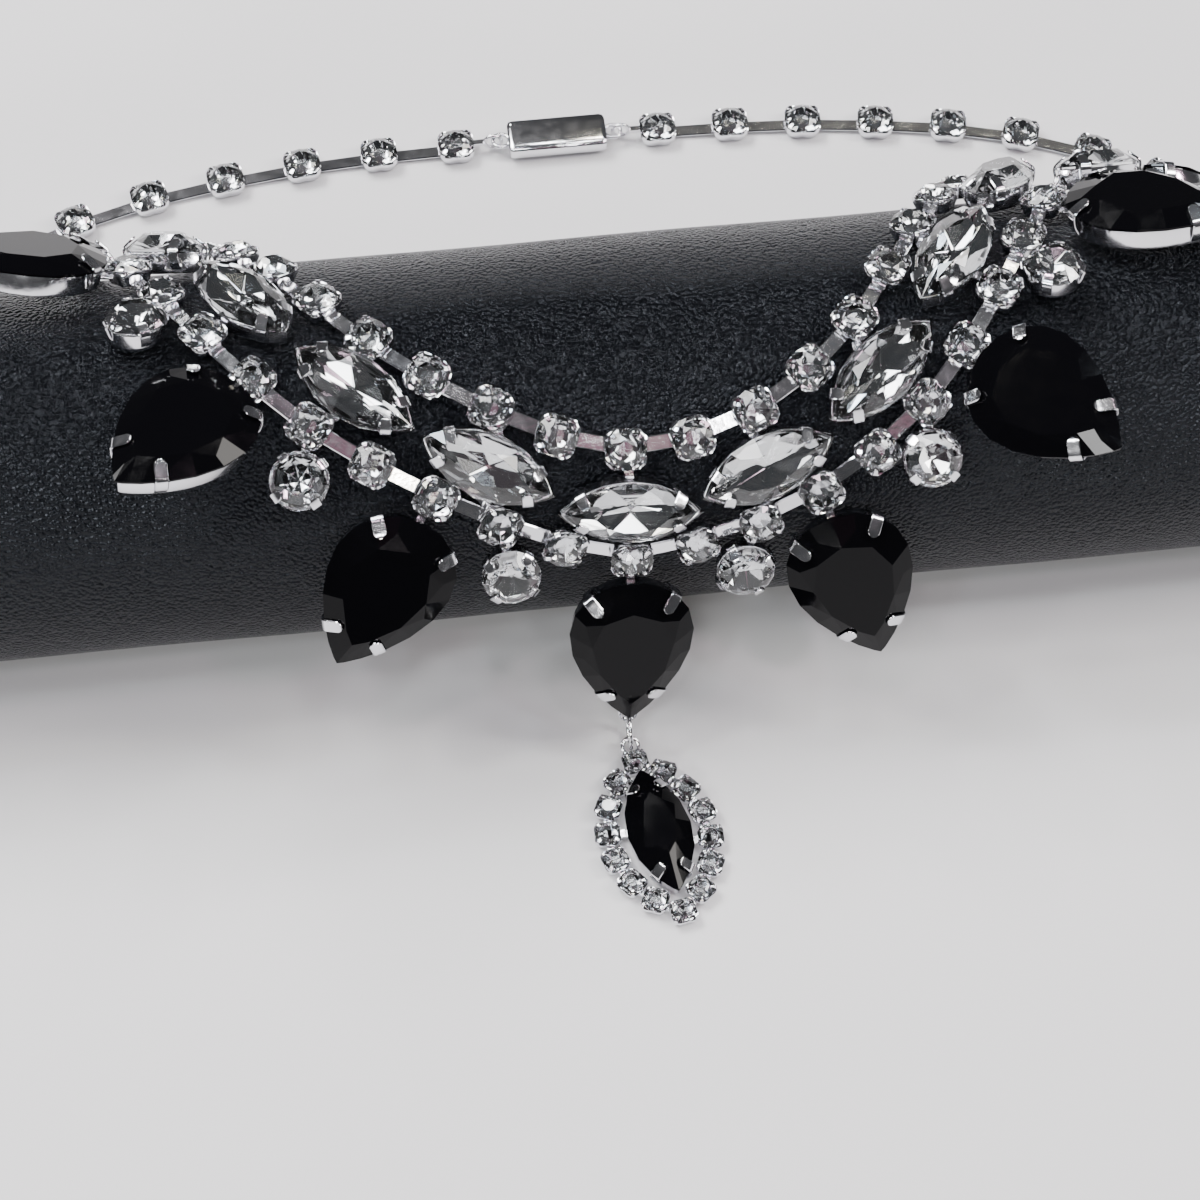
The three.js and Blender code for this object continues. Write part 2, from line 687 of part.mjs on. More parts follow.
// Halo cups on both sides of the pendant's middle are soldered to its setting
function pendantFrame() {
  const frames = haloFrames();
  const cups = frames.map((frame) => smallCup(frame, TINY));
  const bars = frames.map((frame, i) => haloBar(frame, frames[(i + 1) % frames.length]));
  const wall = MARQUISE.halfWidth * SETTING.rimShare - SETTING.wall;
  const quarter = Math.floor(HALO.stoneCount / 4);
  const holds = [quarter, quarter + HALO.stoneCount / 2].map((i) => {
    const side = i === quarter ? 1 : -1;
    const x = haloPoints()[i].x * HALO.holdShare;
    return haloBar(frames[i], moved(PENDANT, x, side * wall, 0));
  });
  const loopFrame = moved(PENDANT, -HALO.halfLength - LOOP_TO_STONE, 0, PENDANT_LOOP_HEIGHT)
    .multiply(new THREE.Matrix4().makeRotationY(degrees(PENDANT_LOOP_TILT)));
  const loop = ring(loopFrame, LOOP_RADIUS);
  return joined([...cups, ...bars, marquiseSetting(PENDANT), ...holds, loop]);
}

// The plain clasp piece, an eye at each end
function clasp() {
  const level = NECK_ROUTES.left[NECK_ROUTES.left.length - 1].along;
  const frame = frameAt(0, level);
  const body = new THREE.BoxGeometry(CLASP.length, CLASP.width, CLASP.thickness);
  const eyes = [-1, 1].map((side) => {
    const reach = side * (CLASP.length / 2 + CLASP.eyeRadius - WIRE_RADIUS / 2);
    return ring(moved(frame, reach, 0, EYE_HEIGHT), CLASP.eyeRadius);
  });
  return joined([placed(body, moved(frame, 0, 0, EYE_HEIGHT)), ...eyes]);
}

// The roll, its ends rounded and its underside flat where it rests
function displayRoll() {
  const { radius, length, endRound, sides } = ROLL;
  const half = length / 2;
  const steps = 2;
  const profile = [new THREE.Vector2(0, -half)];
  for (const end of [-1, 1]) {
    for (let i = 0; i <= steps; i += 1) {
      const angle = (end < 0 ? i : steps - i) / steps * Math.PI / 2;
      const x = radius - endRound * (1 - Math.sin(angle));
      profile.push(new THREE.Vector2(x, end * (half - endRound * (1 - Math.cos(angle)))));
    }
  }
  profile.push(new THREE.Vector2(0, half));
  const lying = new THREE.Matrix4().makeTranslation(0, 0, ROLL_AXIS_HEIGHT)
    .multiply(new THREE.Matrix4().makeRotationZ(-Math.PI / 2));
  const round = placed(new THREE.LatheGeometry(profile, sides), lying);
  const below = new THREE.BoxGeometry(2 * length, 2 * radius, radius).translate(0, 0, -radius / 2);
  return round.subtract(solid(below));
}

function stoneBody(outline, size, frame) {
  return placed(cutStone(outline, size), frame);
}

const necklace = new THREE.Group();

function add(name, body, colour, roughness, metalness) {
  const material = new THREE.MeshStandardMaterial({ color: colour, roughness, metalness });
  const mesh = new THREE.Mesh(geometryOf(body), material);
  mesh.name = name;
  necklace.add(mesh);
}

const addMetal = (name, body) => add(name, body, 0xd5d6da, 0.15, 1);
const addClear = (name, body) => add(name, body, 0xe6eceb, 0.05, 0);
const addBlack = (name, body) => add(name, body, 0x050506, 0.08, 0);

add('display_roll', displayRoll(), 0x141518, 0.5, 0);
addMetal('bib_frame', bibFrame());
MARQUISES.forEach((row) => addClear(row.name, stoneBody(MARQUISE_OUTLINE, MARQUISE, marquiseFrame(row))));
ROUND_DROPS.forEach((row) => addClear(row.name, stoneBody(ROUND_OUTLINE, ROUND, roundFrame(row))));
PEAR_DROPS.forEach((row) => addBlack(row.name, stoneBody(PEAR_OUTLINE, PEAR, pearFrame(row))));
for (const side of ['left', 'right']) {
  const layout = NECK[side];
  addMetal(`neck_strand_${side}`, neckStrand(layout));
  addClear(`neck_clear_stone_${side}`, stoneBody(MARQUISE_OUTLINE, MARQUISE, layout.clear.frame));
  addBlack(`neck_black_stone_${side}`, stoneBody(MARQUISE_OUTLINE, MARQUISE, layout.black.frame));
}
addMetal('clasp', clasp());
addMetal('jump_ring', jumpRing());
addMetal('pendant_frame', pendantFrame());
addBlack('pendant_stone', stoneBody(MARQUISE_OUTLINE, MARQUISE, PENDANT));

export default necklace;
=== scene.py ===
"""Dresses the bib necklace on its display roll: cut stones, settings, chains and leatherette."""
import math

import bpy
import numpy as np
from mathutils import Matrix, Vector


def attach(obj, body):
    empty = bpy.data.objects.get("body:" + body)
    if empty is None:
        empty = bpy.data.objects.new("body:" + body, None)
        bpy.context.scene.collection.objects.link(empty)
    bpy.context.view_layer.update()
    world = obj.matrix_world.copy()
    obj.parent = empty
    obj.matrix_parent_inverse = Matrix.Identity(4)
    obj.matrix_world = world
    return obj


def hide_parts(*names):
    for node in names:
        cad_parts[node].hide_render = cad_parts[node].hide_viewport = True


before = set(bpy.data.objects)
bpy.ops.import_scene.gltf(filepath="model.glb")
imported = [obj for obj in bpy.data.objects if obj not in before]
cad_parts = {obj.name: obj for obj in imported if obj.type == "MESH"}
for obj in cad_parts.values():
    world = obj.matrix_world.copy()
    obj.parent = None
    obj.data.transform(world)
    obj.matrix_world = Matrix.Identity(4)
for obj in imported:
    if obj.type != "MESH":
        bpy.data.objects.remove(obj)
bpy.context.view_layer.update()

# Sizes are in millimetres, as the solids' are. put_in turns them into metres.
MM = 0.001

# Display roll
ROLL_RADIUS = 20.0
ROLL_LENGTH = 190.0
ROLL_REST_WIDTH = 10.0
ROLL_AXIS_HEIGHT = math.sqrt(ROLL_RADIUS ** 2 - (ROLL_REST_WIDTH / 2) ** 2)
ROLL_END_ROUND = 2.5
ROLL_END_RINGS = np.array([0.1, 0.5, 0.9])
ROLL_END_DENT = 1.0

# Its unevenness: a depth, and two sines in radians for each millimetre along it
# and for each radian round it
ROLL_UNEVENNESS = 0.12
ROLL_WAVES = dict(along=0.11, sway=2, lobes=3, twist=0.05)

# How the necklace lies
ROLL_CLEARANCE = 0.35
FLOOR_CLEARANCE = 0.02
FLOOR_BEND_RADIUS = 6.0
PIECE_GAP = 0.3

# Small stones: half the square cup's side at its top and foot, its corners'
# reach, the heights of its rim and of the stone's table, and the stone's radius
SMALL = dict(radius=2.15, foot=1.75, corner=2.72, rim=1.7, table=2.6, stone=2.24)
TINY = dict(radius=1.42, foot=1.2, corner=1.76, rim=1.15, table=1.72, stone=1.4)
SMALL_STONE = dict(table_share=0.52, facets=8)
SMALL_CULET_HEIGHT = 0.35
SMALL_GIRDLE = 0.1
SQUARE_CORNER_POWER = 1.6
CLAW = dict(width_share=0.42, thickness=0.2, point=0.6)
BAR = dict(width=1.6, thickness=0.4, height=0.3)
SOLDER_BAR = dict(width=1.0, thickness=0.3, height=0.25)
SOLDER_START_SHARE = 0.8
SOLDER_SHOWING = 0.15

# Cut stones, and the tabs that grip them: their width, how far they reach in and
# where they stand, as shares of the way round
MARQUISE = dict(
    length=15.0, width=7.0, table_share=0.5, crown=1.7, pavilion=1.4, facets=8,
    tab_width=1.2, grip=1.2, tab_places=(0.125, 0.375, 0.625, 0.875),
)
ROUND = dict(
    length=6.2, width=6.2, table_share=0.55, crown=1.4, pavilion=1.3, facets=8,
    tab_width=1.1, grip=0.8, tab_places=(0.125, 0.375, 0.625, 0.875),
)
PEAR = dict(
    length=18.0, width=13.0, table_share=0.66, crown=1.4, pavilion=1.6, facets=10,
    tab_width=1.35, grip=1.8, tab_places=(0.14, 0.4, 0.6, 0.86),
)
PEAR_PINCH = 0.75
PEAR_SWELL = 0.8
GIRDLE_THICKNESS = 0.25
CULET_SHARE = 0.05

# Where facets meet between table and girdle, and between culet and girdle, as
# shares of the way out and of the height from the girdle or the culet
CROWN_BREAK = dict(out=0.48, height=0.56)
BACK_BREAK = dict(out=0.72, height=0.6)

# Settings under the cut stones
SETTING_FLOOR = 0.6
SETTING_WALL = 0.45
RIM_SHARE = 0.93
RIM_BELOW_GIRDLE = 0.12
TAB_THICKNESS = 0.26
TAB_CROWDING = 1.5
TAB_TIP_SHARE = 0.02
STEEPEST_TAB = 0.85
NEARBY_SHARE = 0.01
CUP_REACH = SMALL["radius"] + SOLDER_SHOWING + PIECE_GAP

# Section of a flat tab or bar with cut edges, as shares of half its width and thickness
FLAT_SECTION = np.array([
    (1, -0.3), (1, 0.3), (0.86, 1), (0, 1), (-0.86, 1),
    (-1, 0.3), (-1, -0.3), (-0.86, -1), (0, -1), (0.86, -1),
])

# Rings
WIRE_RADIUS = 0.25
LOOP_RADIUS = 0.9
JUMP_RING_ADVANCE = 2.3
TIP_EYE_HEIGHT = 1.0
TIP_EYE_REACH = PEAR["length"] / 2 + PIECE_GAP + WIRE_RADIUS
TIP_HEIGHT = 4.3
EYE_HEIGHT = 1.5

# Pendant
HALO_HALF_LENGTH = 9.3
HALO_HALF_WIDTH = 5.4
HALO_STONES = 14
HALO_BAR = dict(width=1.0, thickness=0.5, height=0.3)
HALO_HOLD_SHARE = 0.8
TINY_SEAT = 1.3
PENDANT_LEAN = 9.0
PENDANT_LOOP_HEIGHT = 0.95
PENDANT_LOOP_TILT = 38.0

# Clasp
CLASP_LENGTH = 12.0
CLASP_WIDTH = 5.0
CLASP_THICKNESS = 2.0
CLASP_SQUARENESS = 0.4
EYE_RADIUS = 1.0

# Routes over the roll, as in the part's source: across the roll, and along
# its surface from the top line, the front positive
BIB_STONES = dict(inner=17, outer=19)
INNER_ROUTE = [
    (-42, -20.8), (-34.3, -8.7), (-25.1, 2.2), (-13.3, 10.4), (0, 15.4),
    (13.6, 12.8), (24.8, 4.8), (32.9, -6.6), (40, -18.6),
]
OUTER_ROUTE = [
    (-49.5, -12.4), (-42.8, -1.3), (-32.8, 9.7), (-20.3, 18.1), (-10.4, 23.5),
    (0, 27.5), (9.6, 25.6), (19.5, 21.8), (31, 13.9), (40.1, 3.1),
    (47.4, -9.1),
]
NECK_ROUTES = dict(
    left=[
        (-53, -17), (-59.5, -24.5), (-69.5, -34.5), (-77.5, -45), (-80.5, -57),
        (-74, -69), (-57, -78), (-32, -83), (-9, -84),
    ],
    right=[
        (50.8, -13.3), (58, -20.5), (68, -30), (77, -42.5), (80.5, -55),
        (74, -68), (57, -78), (32, -83), (9, -84),
    ],
)
NECK_STRAND = dict(marquise_pitch=16.4, small_pitch=9.2, small_gap=0.5, end_reach=2.4)
SIDES = dict(left=-1, right=1)
END_CUP = BIB_STONES["outer"] // 2

# Steps round a wire ring, its wire, a small cup or the clasp, a setting, along a
# tab, and round and along the roll, and the angle in degrees that stays sharp
RING_STEPS = 40
WIRE_STEPS = 12
CUP_STEPS = 32
SETTING_STEPS = 56
TAB_STEPS = 22
ROLL_STEPS = 160
ROLL_LENGTH_STEPS = 80
ROLL_END_STEPS = 7
SHARP_ANGLE = 38

# Stones that hang from the outer chain: the cup, counted outwards from the
# middle, and in degrees the lean from straight down, the roll about the
# stone's own length and the lift of its far end
ROUND_DROPS = dict(
    round_stone_left_3=(-8, -27, 0, 0), round_stone_left_2=(-5, -15, 0, 0),
    round_stone_left_1=(-2, 7, 0, 0), round_stone_right_1=(2, -18, 0, 0),
    round_stone_right_2=(5, 0, 0, 0), round_stone_right_3=(8, 21, 0, 0),
)
PEAR_DROPS = dict(
    pear_stone_left_3=(-9, -79, -3, 10), pear_stone_left_2=(-6, -45, 7, 20),
    pear_stone_left_1=(-3, -35, -4, -4), pear_stone_middle=(0, -3, 0, 8),
    pear_stone_right_1=(3, 17, 2, -4), pear_stone_right_2=(6, 48, 10, 20),
    pear_stone_right_3=(9, 63, 3, 0),
)
# Marquises between the chains: the inner and the outer cup that hold each
MARQUISES = dict(
    marquise_stone_left_4=(-8, -9), marquise_stone_left_3=(-6, -7), marquise_stone_left_2=(-4, -5),
    marquise_stone_left_1=(-2, -2), marquise_stone_middle=(0, 0), marquise_stone_right_1=(2, 2),
    marquise_stone_right_2=(4, 5), marquise_stone_right_3=(6, 7), marquise_stone_right_4=(8, 9),
)

# Camera, from a fit of the photographed stones to the roll
CAMERA_PLACE = (-23.6, -200.3, 303.9)
CAMERA_HEADING = (0.0597, 0.528, -0.8471)
CAMERA_LENS = 96.0
CAMERA_SENSOR = 36.0
CAMERA_CLIP = 0.01

# Floor and lights, in metres and watts
FLOOR_SIDE = 6.0
WORLD = dict(colour=(0.78, 0.80, 0.84, 1), strength=0.07)
LIGHT_AIM = (0, -0.01, 0.03)
LIGHTS = dict(
    key=dict(place=(-0.45, 0.40, 0.80), size=(0.60, 0.42), power=14.0),
    right=dict(place=(0.60, -0.05, 0.55), size=(0.20, 0.35), power=4.5, tint=(1.0, 0.96, 0.92)),
    front=dict(place=(-0.30, -0.75, 0.45), size=(0.30, 0.10), power=4.0),
    pink=dict(place=(0.08, -0.64, 0.67), size=(0.30, 0.34), power=0.06, tint=(1.0, 0.25, 0.5)),
)

# Small lights in a ring, for the facets to catch, with their rises in degrees
SPARKLES = 22
SPARKLE_START = 0.3
SPARKLE_DISTANCE = 0.9
SPARKLE_SIZE = 0.065
SPARKLE_POWER = 0.6
SPARKLE_RISES = (62, 34, 48, 74, 55)
SPARKLE_TINTS = ((1, 1, 1), (1, 0.70, 0.84), (0.80, 0.90, 1), (1, 1, 1), (1, 0.93, 0.76), (1, 1, 1))


# Frames: four by four arrays
def shift(x, y, z):
    """A frame moved by x, y, z."""
    matrix = np.eye(4)
    matrix[:3, 3] = (x, y, z)
    return matrix


def turn(axis, angle):
    """A frame turned about one axis by an angle in radians."""
    return np.array(Matrix.Rotation(angle, 4, axis))


def drape(along):
    """Depth, height and slope of the surface under the necklace: over the roll
    on a circle, straight down behind it, round a bend, and on along the floor."""
    radius = ROLL_RADIUS + ROLL_CLEARANCE
    quarter = radius * math.pi / 2
    if along > -quarter:
        slope = along / radius
        return -radius * math.sin(slope), ROLL_AXIS_HEIGHT + radius * math.cos(slope), slope
    drop = ROLL_AXIS_HEIGHT - FLOOR_CLEARANCE - FLOOR_BEND_RADIUS
    past = -along - quarter
    if past < drop:
        return radius, ROLL_AXIS_HEIGHT - past, -math.pi / 2
    angle = min((past - drop) / FLOOR_BEND_RADIUS, math.pi / 2)
    beyond = max(0.0, past - drop - FLOOR_BEND_RADIUS * math.pi / 2)
    depth = radius + FLOOR_BEND_RADIUS * (1 - math.cos(angle)) + beyond
    height = FLOOR_CLEARANCE + FLOOR_BEND_RADIUS * (1 - math.sin(angle))
    return depth, height, angle - math.pi / 2


def drop_turn(lean, roll, lift, half_length):
    """From a cup's frame to that of the stone that leaves it in a straight line."""
    tilt = turn("X", math.radians(roll)) @ turn("Y", math.radians(-lift))
    return turn("Z", math.radians(lean - 90)) @ tilt @ shift(CUP_REACH + half_length, 0, 0)


def lay_shift():
    """How far the necklace is slid over the roll to bring the middle pear's tip
    eye to its height: where out cos(turn) - down sin(turn) is the height above
    the roll's axis."""
    row = PEAR_DROPS["pear_stone_middle"]
    eye = drop_turn(*row[1:], PEAR["length"] / 2) @ (TIP_EYE_REACH, 0, TIP_EYE_HEIGHT, 1)
    radius = ROLL_RADIUS + ROLL_CLEARANCE
    out, down = radius + eye[2], -eye[1]
    slope = math.acos((TIP_HEIGHT - ROLL_AXIS_HEIGHT) / math.hypot(out, down)) - math.atan2(down, out)
    return slope * radius - OUTER_ROUTE[len(OUTER_ROUTE) // 2][1]


LAY_SHIFT = lay_shift()


def frame_at(across, along, angle=0.0):
    """The frame on the draped surface: X at an angle towards the front, Z outwards."""
    depth, height, slope = drape(along + LAY_SHIFT)
    return shift(across, depth, height) @ turn("X", slope) @ turn("Z", -angle)


def curve_samples(rows, per_segment=400):
    """A centripetal Catmull-Rom curve through the rows, as dense points."""
    points = np.array(rows, dtype=float)
    before = 2 * points[0] - points[1]
    after = 2 * points[-1] - points[-2]
    padded = np.vstack([before, points, after])
    share = np.linspace(0, 1, per_segment + 1)[:, None]
    stretches = []
    for p0, p1, p2, p3 in zip(padded, padded[1:], padded[2:], padded[3:]):
        d0, d1, d2 = (math.sqrt(np.linalg.norm(b - a)) for a, b in ((p0, p1), (p1, p2), (p2, p3)))
        leave = d1 * ((p1 - p0) / d0 - (p2 - p0) / (d0 + d1) + (p2 - p1) / d1)
        arrive = d1 * ((p2 - p1) / d1 - (p3 - p1) / (d1 + d2) + (p3 - p2) / d2)
        bend = -3 * p1 + 3 * p2 - 2 * leave - arrive
        close = 2 * p1 - 2 * p2 + leave + arrive
        stretches.append(p1 + leave * share + bend * share ** 2 + close * share ** 3)
    return np.vstack([stretches[0]] + [stretch[1:] for stretch in stretches[1:]])


class Route:
    """A curve over the draped surface, and places at distances along it."""

    def __init__(self, rows):
        self.samples = curve_samples(rows)
        steps = np.linalg.norm(np.diff(self.samples, axis=0), axis=1)
        self.distances = np.concatenate([[0], np.cumsum(steps)])
        self.length = self.distances[-1]
        self.middle = self.distances[len(self.distances) // 2]

    def place(self, distance):
        """The point at a distance along the curve, its heading and its frame."""
        distance = min(max(distance, 0.0), self.length)
        across = np.interp(distance, self.distances, self.samples[:, 0])
        along = np.interp(distance, self.distances, self.samples[:, 1])
        index = min(np.searchsorted(self.distances, distance), len(self.samples) - 2)
        step = self.samples[index + 1] - self.samples[max(index - 1, 0)]
        angle = math.atan2(step[1], step[0])
        return dict(across=across, along=along, angle=angle, frame=frame_at(across, along, angle))

    def places(self, count):
        """Places equally spaced on both sides of the middle row."""
        parts = np.linspace(-1, 1, count)
        rest = self.length - self.middle
        return [self.place(self.middle + part * (self.middle if part < 0 else rest)) for part in parts]


INNER = Route(INNER_ROUTE).places(BIB_STONES["inner"])
OUTER = Route(OUTER_ROUTE).places(BIB_STONES["outer"])


def inner_cup(count):
    """A cup of the inner chain, counted outwards from the middle."""
    return INNER[count + BIB_STONES["inner"] // 2]


def outer_cup(count):
    """A cup of the outer chain, counted outwards from the middle."""
    return OUTER[count + BIB_STONES["outer"] // 2]


def marquise_frame(inner, outer):
    """Midway between the inner cup and the outer chain beside it."""
    near = inner_cup(inner)
    share = (inner / (BIB_STONES["inner"] - 1) + 0.5) * (BIB_STONES["outer"] - 1)
    before = OUTER[int(share)]
    after = OUTER[min(int(share) + 1, len(OUTER) - 1)]
    part = share - int(share)
    across = before["across"] + (after["across"] - before["across"]) * part
    along = before["along"] + (after["along"] - before["along"]) * part
    angle = (near["angle"] + before["angle"]) / 2
    return frame_at((near["across"] + across) / 2, (near["along"] + along) / 2, angle)


def drop_frame(row, size):
    """The frame of a stone that hangs from the outer chain, from its row of cup and angles."""
    place = outer_cup(row[0])
    return frame_at(place["across"], place["along"]) @ drop_turn(*row[1:], size["length"] / 2)


# Forms: points, faces and the finish of each face
METAL, GLASS, FOIL, BLACK = range(4)


class Form:
    """Points and faces gathered from parametric pieces, to become one mesh."""

    def __init__(self):
        self.points = []
        self.faces = []
        self.finishes = []
        self.smooth = []
        self.count = 0

    def add(self, points, faces, finish=METAL, smooth=True, at=None):
        """Takes in points, moved to a frame, and arrays of faces that count them from nought."""
        points = np.asarray(points, dtype=float).reshape(-1, 3)
        if at is not None:
            points = points @ at[:3, :3].T + at[:3, 3]
        for block in faces:
            self.faces += (np.asarray(block) + self.count).tolist()
            self.finishes += [finish] * len(block)
            self.smooth += [smooth] * len(block)
        self.points.append(points)
        self.count += len(points)


def equal_angles(count):
    """Equal angles once round."""
    return np.linspace(0, 2 * np.pi, count, endpoint=False)


def grid_faces(rows, columns):
    """Quads of a grid that closes round its columns, rows going up."""
    row, column = np.meshgrid(np.arange(rows - 1), np.arange(columns), indexing="ij")
    beside = (column + 1) % columns
    a = row * columns + column
    b = row * columns + beside
    quads = np.stack([a, b, b + columns, a + columns], axis=-1)
    return quads.reshape(-1, 4)


def closed_rings(form, rings, at=None):
    """A closed smooth skin through stacked rings, with a flat end at each end."""
    rings = np.asarray(rings, dtype=float)
    rows, columns = rings.shape[:2]
    bottom = np.arange(columns)[::-1][None, :]
    top = (np.arange(columns) + (rows - 1) * columns)[None, :]
    form.add(rings, [grid_faces(rows, columns), bottom, top], at=at)


def ring_wire(form, radius, at):
    """A torus: a circle of wire round a circle, both by angle."""
    long, short = np.meshgrid(equal_angles(RING_STEPS), equal_angles(WIRE_STEPS), indexing="ij")
    reach = radius + WIRE_RADIUS * np.cos(short)
    points = np.stack([reach * np.cos(long), reach * np.sin(long), WIRE_RADIUS * np.sin(short)], axis=-1)
    rows = np.vstack([grid_faces(RING_STEPS, WIRE_STEPS), wrap_faces(RING_STEPS, WIRE_STEPS)])
    form.add(points, [rows], at=at)


def wrap_faces(rows, columns):
    """The quads that join the last row back to the first."""
    column = np.arange(columns)
    beside = (column + 1) % columns
    last = (rows - 1) * columns
    return np.stack([last + column, last + beside, beside, column], axis=-1)


# Outlines by angle, the long way along X
def marquise_outline(angle, length, width):
    """Two arcs that meet in points: the half width of a lens at each place along it."""
    half_length, half_width = length / 2, width / 2
    radius = (half_length ** 2 + half_width ** 2) / (2 * half_width)
    x = half_length * np.cos(angle)
    rise = np.sqrt(np.maximum(radius ** 2 - x ** 2, 0)) - (radius - half_width)
    return np.stack([x, np.sign(np.round(np.sin(angle), 9)) * rise], axis=-1)


def round_outline(angle, length, width):
    """An ellipse by angle, a circle when its two sizes are the same."""
    return np.stack([np.cos(angle) * length / 2, np.sin(angle) * width / 2], axis=-1)


def pear_outline(angle, length, width):
    """A drop: a sine swollen towards the wide end at -X and pinched at the tip."""
    swell = np.sin(angle) * np.abs(np.sin(angle / 2)) ** PEAR_PINCH / PEAR_SWELL
    return np.stack([np.cos(angle) * length / 2, swell * width / 2], axis=-1)


def levels(size):
    """Heights of a stone's culet, girdle and table above the foot of its setting."""
    culet = SETTING_FLOOR + PIECE_GAP
    girdle = culet + size["pavilion"]
    return culet, girdle, girdle + size["crown"]


def lifted(outline, share, height):
    """An outline scaled by a share, at a height."""
    return np.column_stack([outline * share, np.full(len(outline), height)])


def brilliant_facets(inner, mid, girdle):
    """Facets between the table, or the flat at the back, and the girdle: pointed
    facets inside, kites out to the girdle, and a pair of facets over each gap."""
    count = len(inner)
    i = np.arange(count)
    following = (i + 1) % count
    ring, middle, edge = i, count + i, 2 * count + 2 * i
    next_ring, next_edge = following, 2 * count + 2 * following
    before_middle = count + (i - 1) % count
    star = np.stack([ring, middle, next_ring], axis=-1)
    kite = np.stack([ring, before_middle, edge, middle], axis=-1)
    first = np.stack([middle, edge, edge + 1], axis=-1)
    second = np.stack([middle, edge + 1, next_edge], axis=-1)
    return np.vstack([inner, mid, girdle]), [star, kite, first, second]


def cut_stone(form, outline, size, finishes, heights, at, girdle_thickness=GIRDLE_THICKNESS):
    """A cut stone: a table, a crown of pointed facets and kites, a thin girdle,
    and a pavilion of long kites that run in to a small flat at its middle, with
    a pair of steeper facets between their outer ends. Its two finishes are the
    crown's and the back's."""
    crown_finish, back_finish = finishes
    culet, girdle, table = heights
    count = size["facets"]
    corners, halves, gaps = (
        outline(angle, size["length"], size["width"])
        for angle in (equal_angles(count), equal_angles(2 * count), equal_angles(count) + np.pi / count)
    )
    table_share = size["table_share"]
    crown_share = table_share + (1 - table_share) * CROWN_BREAK["out"]
    top_edge = lifted(halves, 1, girdle + girdle_thickness / 2)
    low_edge = lifted(halves, 1, girdle - girdle_thickness / 2)
    table_ring = lifted(corners, table_share, table)
    crown_mid = lifted(gaps, crown_share, girdle + (table - girdle) * CROWN_BREAK["height"])
    base_ring = lifted(corners, CULET_SHARE, culet)
    back_mid = lifted(gaps, BACK_BREAK["out"], culet + (girdle - culet) * BACK_BREAK["height"])
    points, faces = brilliant_facets(table_ring, crown_mid, top_edge)
    faces.append(np.arange(count)[None, :])
    form.add(points, faces, crown_finish, False, at)
    points, faces = brilliant_facets(base_ring, back_mid, low_edge)
    faces.append(np.arange(count)[None, :])
    form.add(points, [block[:, ::-1] for block in faces], back_finish, False, at)
    form.add(np.vstack([low_edge, top_edge]), [grid_faces(2, 2 * count)], crown_finish, False, at)


def setting_cup(form, outline, size, at):
    """A thin walled cup under a stone: rings out from its foot, up its wall,
    over its rounded rim and down inside, each a share of the stone's outline
    at a height."""
    shape = outline(equal_angles(SETTING_STEPS), size["length"], size["width"])
    outer = RIM_SHARE
    inner = RIM_SHARE - SETTING_WALL / (size["width"] / 2)
    rim = levels(size)[1] - RIM_BELOW_GIRDLE
    rows = [
        (outer - 0.06, 0.0), (outer - 0.02, 0.12), (outer, 0.5), (outer + 0.02, rim - 0.2),
        (outer + 0.02, rim - 0.05), (outer - 0.005, rim),
        (inner + 0.05, rim - 0.1), (inner, rim - 0.5), (inner, SETTING_FLOOR),
    ]
    closed_rings(form, [lifted(shape, share, height) for share, height in rows], at=at)


def tab(form, path, width, thickness, at, point=0.0):
    """A bent metal tab: a flat section carried along an eased path in the XZ
    plane, at steps that close up towards its end. It ends in a half circle and
    can narrow on its way, by the share point of its width."""
    path = np.asarray(path, dtype=float)
    distances = np.concatenate([[0], np.cumsum(np.hypot(*np.diff(path, axis=0).T))])
    length = distances[-1]
    stations = length * (1 - np.linspace(1, 0, TAB_STEPS) ** TAB_CROWDING)
    x = np.interp(stations, distances, path[:, 0])
    z = np.interp(stations, distances, path[:, 1])
    x[1:-1] = (x[:-2] + 2 * x[1:-1] + x[2:]) / 4
    z[1:-1] = (z[:-2] + 2 * z[1:-1] + z[2:]) / 4
    slope_x, slope_z = np.gradient(x), np.gradient(z)
    size = np.hypot(slope_x, slope_z)
    narrowing = 1 - point * stations / length
    left = np.clip((length - stations) / (width / 2 * narrowing[-1]), TAB_TIP_SHARE, 1)
    taper = narrowing * np.sqrt(1 - (1 - left) ** 2)
    across = taper[:, None] * FLAT_SECTION[:, 0] * width / 2
    out = np.sqrt(taper)[:, None] * FLAT_SECTION[:, 1] * thickness / 2
    points = np.stack([
        x[:, None] - out * (slope_z / size)[:, None],
        across,
        z[:, None] + out * (slope_x / size)[:, None],
    ], axis=-1)
    closed_rings(form, points[:, ::-1], at=at)


def tab_stands(outline, size):
    """Frames on the stone's outline where its tabs stand, with X heading outwards."""
    for share in size["tab_places"]:
        angle = np.array([share - NEARBY_SHARE, share, share + NEARBY_SHARE]) * 2 * np.pi
        before, point, after = outline(angle, size["length"], size["width"])
        heading = math.atan2(-(after[0] - before[0]), after[1] - before[1])
        yield shift(point[0], point[1], 0) @ turn("Z", heading)


def stone_setting(form, outline, size, at):
    """A cup with flat rounded tabs that rise outside the stone and fold in over
    its edge at the slope of its crown. Their path's rows are a distance out from
    the stone's edge and a height."""
    setting_cup(form, outline, size, at)
    girdle = levels(size)[1]
    grip = size["grip"]
    slope = min(size["crown"] / ((1 - size["table_share"]) * size["width"] / 2), STEEPEST_TAB)
    path = [
        (-0.45, 0.5), (-0.02, girdle * 0.5), (0.16, girdle - 0.1), (0.16, girdle + 0.16),
        (-0.1, girdle + 0.36 + 0.1 * slope), (-grip, girdle + 0.32 + slope * grip),
    ]
    for stand in tab_stands(outline, size):
        tab(form, path, size["tab_width"], TAB_THICKNESS, at @ stand)


